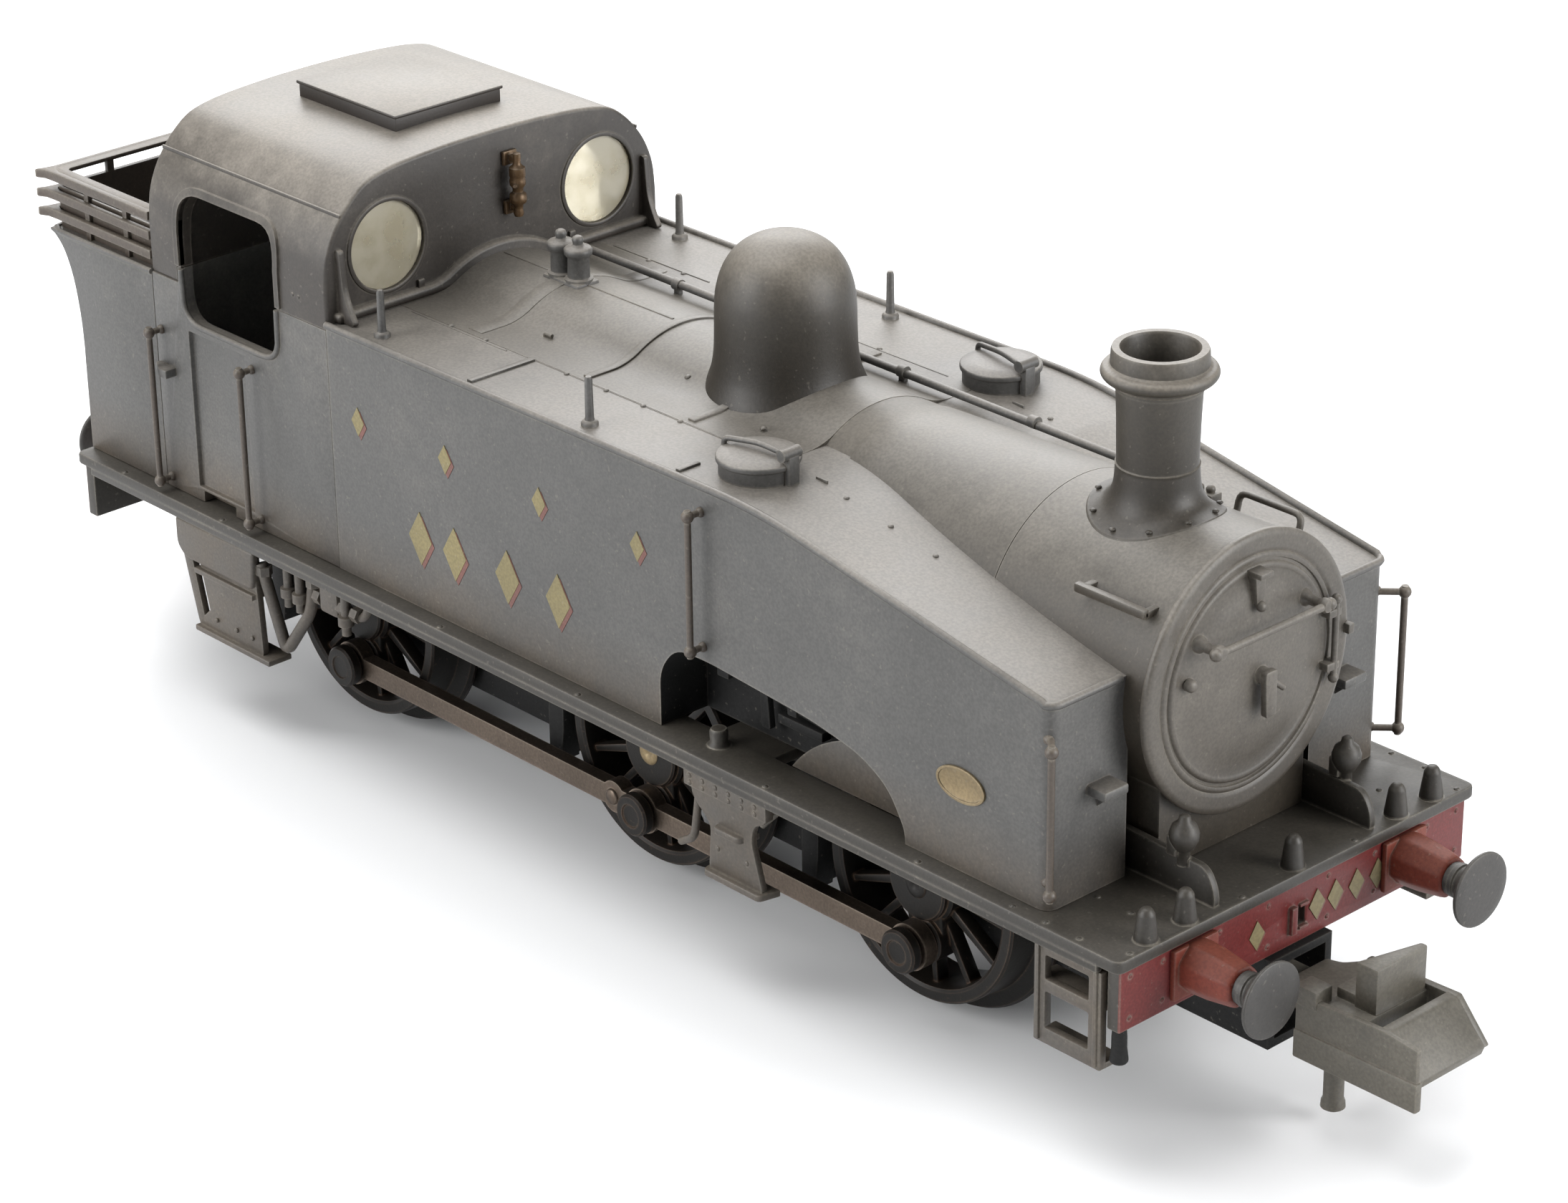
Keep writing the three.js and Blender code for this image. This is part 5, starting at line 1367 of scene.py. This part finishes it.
def coat():
    tree = bpy.data.node_groups.new("weathered_coat", "ShaderNodeTree")
    face = tree.interface
    for name in ("Paint", "Dust", "Grime And Shade", "Worn"):
        face.new_socket(name, in_out="INPUT", socket_type="NodeSocketColor")
    for name, start in (("Dust Cover", 0.8), ("Edge Wear", 0.5), ("Low Grime", 0.4), ("Grime Low", 0.0093),
                        ("Grime High", 0.0125), ("Speckle", 0.5), ("Polish", 0.6)):
        face.new_socket(name, in_out="INPUT", socket_type="NodeSocketFloat").default_value = start
    face.new_socket("Color", in_out="OUTPUT", socket_type="NodeSocketColor")
    face.new_socket("Roughness", in_out="OUTPUT", socket_type="NodeSocketFloat")
    face.new_socket("Height", in_out="OUTPUT", socket_type="NodeSocketFloat")
    given = tree.nodes.new("NodeGroupInput").outputs
    place = add(tree, "ShaderNodeTexCoord").outputs["Object"]
    patches = add(tree, "ShaderNodeTexNoise", {"Vector": place, "Scale": PATCHES, "Detail": 5.0}).outputs["Fac"]
    cloud = add(tree, "ShaderNodeTexNoise", {"Vector": place, "Scale": CLOUDS, "Detail": 4.0}).outputs["Fac"]
    grain = add(tree, "ShaderNodeTexNoise", {"Vector": place, "Scale": GRAIN, "Detail": 3.0}).outputs["Fac"]
    normal = add(tree, "ShaderNodeNewGeometry").outputs["Normal"]
    upward = add(tree, "ShaderNodeSeparateXYZ", {0: normal}).outputs["Z"]
    height = add(tree, "ShaderNodeSeparateXYZ", {0: place}).outputs["Z"]
    uneven = math_node(tree, "ADD", math_node(tree, "MULTIPLY", patches, 0.8),
                       math_node(tree, "MULTIPLY", cloud, 0.35))
    swing = math_node(tree, "SUBTRACT", uneven, 0.57)
    settled = spread(tree, math_node(tree, "ADD", upward, swing), 0.02, 0.95, 0.06, 1.0)
    dusty = math_node(tree, "MULTIPLY", settled, given["Dust Cover"], True)
    # Darker towards the bottom: brown grime on most pieces, and soot with painted shade on the dome and chimney where
    # they meet the boiler.
    low = spread(tree, height, given["Grime Low"], given["Grime High"], 1.0, 0.0)
    low = math_node(tree, "MULTIPLY", low, given["Low Grime"])
    low = math_node(tree, "MULTIPLY", low, math_node(tree, "MULTIPLY", uneven, 1.5), True)
    rounded = add(tree, "ShaderNodeBevel", {"Radius": WORN_CORNER}, samples=6).outputs[0]
    bent = add(tree, "ShaderNodeVectorMath", {0: rounded, 1: normal}, operation="DOT_PRODUCT").outputs["Value"]
    edge = spread(tree, math_node(tree, "SUBTRACT", 1.0, bent), 0.015, 0.16)
    edge = math_node(tree, "MULTIPLY", edge, math_node(tree, "MULTIPLY", given["Edge Wear"],
                                                       spread(tree, uneven, 0.35, 0.75, 0.35, 1.0)), True)
    color = mixed(tree, dusty, given["Paint"], given["Dust"])
    color = mixed(tree, low, color, given["Grime And Shade"])
    color = mixed(tree, edge, color, given["Worn"])
    tone = spread(tree, uneven, 0.3, 0.85, 0.82, 1.18)
    tone = math_node(tree, "MULTIPLY", tone, spread(tree, grain, 0.3, 0.7, 0.86, 1.14))
    shade = add(tree, "ShaderNodeCombineColor", {0: tone, 1: tone, 2: tone}).outputs[0]
    color = mixed(tree, 1.0, color, shade, "MULTIPLY")
    specks = add(tree, "ShaderNodeTexNoise", {"Vector": place, "Scale": SPECKS, "Detail": 1.0}).outputs["Fac"]
    specks = math_node(tree, "MULTIPLY", spread(tree, specks, 0.69, 0.76), given["Speckle"], True)
    color = mixed(tree, specks, color, given["Worn"])
    out = tree.nodes.new("NodeGroupOutput")
    tree.links.new(color, out.inputs["Color"])
    rough = math_node(tree, "ADD", given["Polish"], math_node(tree, "MULTIPLY", swing, 0.3))
    tree.links.new(rough, out.inputs["Roughness"])
    bumps = math_node(tree, "ADD", math_node(tree, "MULTIPLY", grain, 0.7), math_node(tree, "MULTIPLY", cloud, 0.5))
    tree.links.new(bumps, out.inputs["Height"])
    return tree


weathered = coat()
print("nodes in the coat:", len(weathered.nodes))

# %% [markdown]
# Each paint or metal is then one material with its own colours in the same coat. What is
# the same all over a surface, such as how metallic it is, goes on the shader directly.

# %% One finish
def finish(name, paint, dust=(0.17, 0.158, 0.14), grime_and_shade=(0.06, 0.045, 0.03), worn=(0.22, 0.2, 0.165),
           cover=0.8, wear=0.45, low=0.4, low_from=0.0093, low_to=0.0125, speckle=0.18, polish=0.5,
           metal=0.0, bump=0.25, specular=0.5):
    material = bpy.data.materials.new(name)
    material.use_nodes = True
    tree = material.node_tree
    shader = tree.nodes["Principled BSDF"]
    group = tree.nodes.new("ShaderNodeGroup")
    group.node_tree = weathered
    for key, value in (("Paint", paint), ("Dust", dust), ("Grime And Shade", grime_and_shade), ("Worn", worn)):
        group.inputs[key].default_value = (*value, 1)
    for key, value in (("Dust Cover", cover), ("Edge Wear", wear), ("Low Grime", low), ("Grime Low", low_from),
                       ("Grime High", low_to), ("Speckle", speckle), ("Polish", polish)):
        group.inputs[key].default_value = value
    tree.links.new(group.outputs["Color"], shader.inputs["Base Color"])
    tree.links.new(group.outputs["Roughness"], shader.inputs["Roughness"])
    shader.inputs["Metallic"].default_value = metal
    shader.inputs["Specular IOR Level"].default_value = specular
    rise = add(tree, "ShaderNodeBump", {"Height": group.outputs["Height"], "Strength": bump, "Distance": 0.00003})
    tree.links.new(rise.outputs[0], shader.inputs["Normal"])
    return material


print("every finish uses the group", weathered.name)

# %% [markdown]
# Dust and worn paint are warm and pale, fresh soot is nearly neutral, and the metals keep a
# shine. The table has one finish for each material slot of the model.

# %% The finishes
finishes = {
    "charcoal": finish("charcoal_paint", (0.058, 0.057, 0.055), dust=(0.165, 0.15, 0.13), low=0.75),
    "dusty": finish("sooty_boiler_paint", (0.042, 0.035, 0.026), dust=(0.155, 0.142, 0.122),
                    grime_and_shade=(0.026, 0.02, 0.013), wear=0.35, low=0.8, low_from=0.017, low_to=0.0212),
    "soot": finish("sooty_cab_paint", (0.017, 0.013, 0.010), dust=(0.195, 0.175, 0.148), cover=0.9,
                   wear=0.35, low=0.0),
    "crimson": finish("crimson_beam_paint", (0.11, 0.012, 0.012), dust=(0.13, 0.07, 0.055),
                      grime_and_shade=(0.05, 0.03, 0.025), cover=0.5, wear=0.7, low=0.15, specular=0.3),
    "red": finish("red_buffer_paint", (0.15, 0.026, 0.015), dust=(0.14, 0.04, 0.024),
                  grime_and_shade=(0.09, 0.03, 0.018), cover=0.6, wear=0.3, low=0.2, specular=0.3),
    "plate": finish("running_plate_paint", (0.022, 0.019, 0.015), dust=(0.05, 0.044, 0.035), cover=0.7,
                    wear=0.8, low=0.0),
    "bronze": finish("whistle_bronze", (0.1, 0.058, 0.026), dust=(0.06, 0.045, 0.03), cover=0.5, wear=0.4,
                     low=0, polish=0.45, metal=0.5),
    "coal": finish("coal_black", (0.02, 0.018, 0.017), dust=(0.12, 0.11, 0.1), cover=0.55, wear=0.5, low=0,
                   polish=0.4),
    "rail": finish("rail_brown", (0.055, 0.042, 0.032), dust=(0.14, 0.12, 0.095), cover=0.7, wear=0.7, low=0),
    "coupler": finish("coupler_plastic", (0.075, 0.067, 0.052), dust=(0.125, 0.115, 0.095), cover=0.7,
                      wear=0.5, low=0),
    "diecast": finish("chassis_diecast", (0.014, 0.014, 0.014), dust=(0.03, 0.028, 0.025), cover=0.15,
                      wear=0.1, low=0, polish=0.75, specular=0.2),
    "black": finish("black_plastic_and_alcove_shade", (0.012, 0.012, 0.012), dust=(0.03, 0.028, 0.025), cover=0.1,
                    wear=0.15, low=0, polish=0.7, specular=0.2),
    "steel": finish("rod_steel", (0.11, 0.085, 0.066), dust=(0.09, 0.07, 0.055), worn=(0.32, 0.26, 0.21),
                    cover=0.4, wear=0.6, low=0, polish=0.4, metal=0.85),
    "wheel": finish("wheel_brown_black", (0.006, 0.005, 0.004), dust=(0.017, 0.013, 0.010),
                    worn=(0.12, 0.08, 0.055), cover=0.5, wear=0.8, low=0, metal=0.2, specular=0.3),
    "nylon": finish("axle_nylon", (0.02, 0.02, 0.022), cover=0.1, wear=0.1, low=0),
    "motor": finish("motor_steel", (0.42, 0.43, 0.44), cover=0.0, wear=0.2, low=0, speckle=0.1, polish=0.3,
                    metal=1.0),
    "brass": finish("old_brass", (0.2, 0.15, 0.08), dust=(0.15, 0.12, 0.07), cover=0.4, wear=0.5, low=0,
                    polish=0.45, metal=0.55),
}
print("finishes:", len(finishes))


# %% [markdown]
# The panes are yellowed clear plastic, which lets light through and scatters some of it.
# The haze changes its colour and its roughness, while its clearness is one plain number.

# %% Window panes
def pane_material():
    material = bpy.data.materials.new("window_pane")
    material.use_nodes = True
    tree = material.node_tree
    shader = tree.nodes["Principled BSDF"]
    place = add(tree, "ShaderNodeTexCoord").outputs["Object"]
    haze = add(tree, "ShaderNodeTexNoise", {"Vector": place, "Scale": 900.0, "Detail": 5.0}).outputs["Fac"]
    ramp = mixed(tree, spread(tree, haze, 0.35, 0.7), (0.8, 0.75, 0.6, 1), (0.66, 0.6, 0.44, 1))
    tree.links.new(ramp, shader.inputs["Base Color"])
    tree.links.new(spread(tree, haze, 0.3, 0.7, 0.12, 0.3), shader.inputs["Roughness"])
    shader.inputs["Transmission Weight"].default_value = 0.66
    shader.inputs["IOR"].default_value = 1.46
    return material


finishes["glazing"] = pane_material()
print("panes: clear plastic,", finishes["glazing"].name)

# %% [markdown]
# A few pieces differ from the rest of their slot. The dome and the chimney are darker low
# down, soot with painted shade where they meet the boiler, the hatch's sides are darker as
# painted shade, the door and the buffer rams have their own grey, and the marks are gold and red.

# %% Finishes for single pieces
# The dome and the chimney go nearly black low down where they meet the boiler: soot, with painted shade in that
# crease.
dome_soot_and_shade = finish("sooty_dome_paint_and_shade", (0.024, 0.020, 0.014), dust=(0.165, 0.147, 0.122),
                   grime_and_shade=(0.010, 0.007, 0.004), wear=0.3, low=0.95, low_from=0.0198, low_to=0.0262)
door_soot = finish("sooty_door_paint", (0.062, 0.054, 0.044), dust=(0.165, 0.15, 0.128),
                   grime_and_shade=(0.026, 0.02, 0.014), wear=0.5, low=0.55, low_from=0.0115, low_to=0.0142)
# The hatch's sides, under the lid's overhang, take a darker copy of the cab paint with hardly any dust or wear:
# painted shade.
hatch_side_shade = finish("hatch_side_painted_shade", (0.016, 0.011, 0.008), cover=0.25, wear=0.06, low=0.0, speckle=0.05)
ram_iron = finish("ram_iron", (0.025, 0.023, 0.021), dust=(0.06, 0.055, 0.048), cover=0.6, wear=0.6, low=0)
gold = finish("mark_gold_paint", (0.17, 0.14, 0.06), dust=(0.17, 0.15, 0.09), cover=0.3, wear=0.0, low=0.3,
              speckle=0.3, polish=0.6)
shadow_red = finish("mark_red_paint", (0.12, 0.04, 0.03), cover=0.3, wear=0.0, low=0.3, speckle=0.3)
special = {"mark_gold": gold, "mark_shadow": shadow_red, "dome_casting": dome_soot_and_shade,
           "chimney_casting": dome_soot_and_shade, "smokebox_door_dish": door_soot,
           **{name: ram_iron for name in made if name.startswith("buffer_ram")}}
print("pieces with a finish of their own:", len(special))

# %% [markdown]
# Now every piece gets its finish, rides on its body and takes the place of the frame's
# plain solids. Solids that keep their own shape, such as the chassis and motor, are given
# the same kinds of finish.

# %% Dress the model
slots = {part["node"]: part["material_slot"] for part in frame["record"]["subparts"]}
for name, (piece, slot, body, nodes) in made.items():
    piece.name = piece.data.name = name
    piece.data.materials.clear()
    piece.data.materials.append(special.get(name, finishes[slot]))
    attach(piece, body)
    if nodes:
        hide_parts(*nodes)
for name, node in frame["nodes"].items():
    node.data.materials.clear()
    node.data.materials.append(finishes[slots[name]])
print("pieces dressed:", len(made))

# %% [markdown]
# Some pieces show two paints. The faces that pass a test, by their middle and their normal,
# take the second one: the backs of the beams, and, as painted shade, the darker sides of the
# hatch and the black inside the tank alcoves.

# %% Second finishes
def second_finish(name, material, inside):
    """Give the faces of a piece whose middle and normal pass a test another finish."""
    piece = made[name][0]
    piece.data.materials.append(material)
    for face in piece.data.polygons:
        if inside(face.center / MM, face.normal):
            face.material_index = 1


second_finish("beam_front", finishes["plate"], lambda at, way: way.x < 0.5 and at.x < 30.7)
second_finish("beam_rear", finishes["plate"], lambda at, way: way.x > -0.5 and at.x > -30.7)
# The hatch's sides take that darker copy of the paint as painted shade.
second_finish("hatch_box", hatch_side_shade, lambda at, way: way.z < 0.35)
# Inside each tank's alcove the faces are painted black: painted shade in the recess under the boiler.
for side in ("right", "left"):
    second_finish(f"tank_{side}", finishes["black"], lambda at, way: 6.4 < at.x < 19.9 and 9.3 < at.z < 13.1
                  and abs(at.y) < 8.6 and not (abs(at.y) > 7.45 and abs(way.y) > 0.9))
triangles = sum(len(p.vertices) - 2 for piece, *rest in made.values() for p in piece.data.polygons)
print("pieces:", len(made), "triangles:", triangles)

# %% [markdown]
# The stage is a pale floor with wide soft lamps round it, as in a light tent: the strongest
# behind, one overhead, and one low on each side. The sky adds a little light everywhere.

# %% Floor and light
clear()
bpy.ops.mesh.primitive_plane_add(size=6)
floor = started("floor")
paper = bpy.data.materials.new("pale_paper")
paper.use_nodes = True
paper_shader = paper.node_tree.nodes["Principled BSDF"]
paper_shader.inputs["Base Color"].default_value = (0.86, 0.865, 0.87, 1)
paper_shader.inputs["Roughness"].default_value = 0.9
floor.data.materials.append(paper)


def lamp(name, place, size, power, target=(0, 0, 0.01)):
    """A square lamp, placed in metres, that looks at the model."""
    clear()
    bpy.ops.object.light_add(type="AREA", location=place)
    light = bpy.context.object
    light.name = name
    light.data.shape = "SQUARE"
    light.data.size = size
    light.data.energy = power
    light.rotation_euler = (Vector(target) - Vector(place)).to_track_quat("-Z", "Y").to_euler()


lamp("behind", (-0.38, 0.36, 0.36), 0.5, 4.3)
lamp("overhead", (-0.14, -0.06, 0.48), 0.4, 2.2)
lamp("left_side", (-0.16, -0.40, 0.17), 0.3, 1.9)
lamp("right_side", (0.46, 0.20, 0.17), 0.3, 3.0, (0, 0, 0.012))
world = bpy.data.worlds.new("tent")
bpy.context.scene.world = world
world.use_nodes = True
world.node_tree.nodes["Background"].inputs[0].default_value = (0.95, 0.97, 1.0, 1)
world.node_tree.nodes["Background"].inputs[1].default_value = 0.25

# %% [markdown]
# The camera stands high at the front right and looks down at the engine's middle, with a
# very slight roll. Its place is given from the front axle, in its own directions: right,
# up and back.

# %% Camera
AZIMUTH, ELEVATION, ROLL = math.radians(47.498), math.radians(25.155), math.radians(-0.749)
EYE_FROM_FRONT_AXLE = (-9.237, 13.731, 167.843)
FRAME_WIDTH, FOCAL_LENGTH, SENSOR = 2189, 6132.2, 36

back = Vector((math.sin(AZIMUTH) * math.cos(ELEVATION), -math.cos(AZIMUTH) * math.cos(ELEVATION),
               math.sin(ELEVATION)))
flat_right = Vector((0, 0, 1)).cross(back).normalized()
flat_up = back.cross(flat_right)
right = flat_right * math.cos(ROLL) + flat_up * math.sin(ROLL)
up = flat_up * math.cos(ROLL) - flat_right * math.sin(ROLL)
turn = Matrix((right, up, back)).transposed()
eye = turn @ Vector(EYE_FROM_FRONT_AXLE) + Vector((AXLES["front"], 0, 0))
bpy.ops.object.camera_add()
camera = bpy.context.object
camera.matrix_world = Matrix.Translation(eye * MM) @ turn.to_4x4()
camera.data.lens = SENSOR * FOCAL_LENGTH / FRAME_WIDTH
camera.data.clip_start, camera.data.clip_end = 0.005, 10
bpy.context.scene.camera = camera
bpy.context.scene.view_settings.view_transform = "Standard"
bpy.context.scene.view_settings.exposure = 0.0
print("lens:", round(camera.data.lens, 1), "mm")
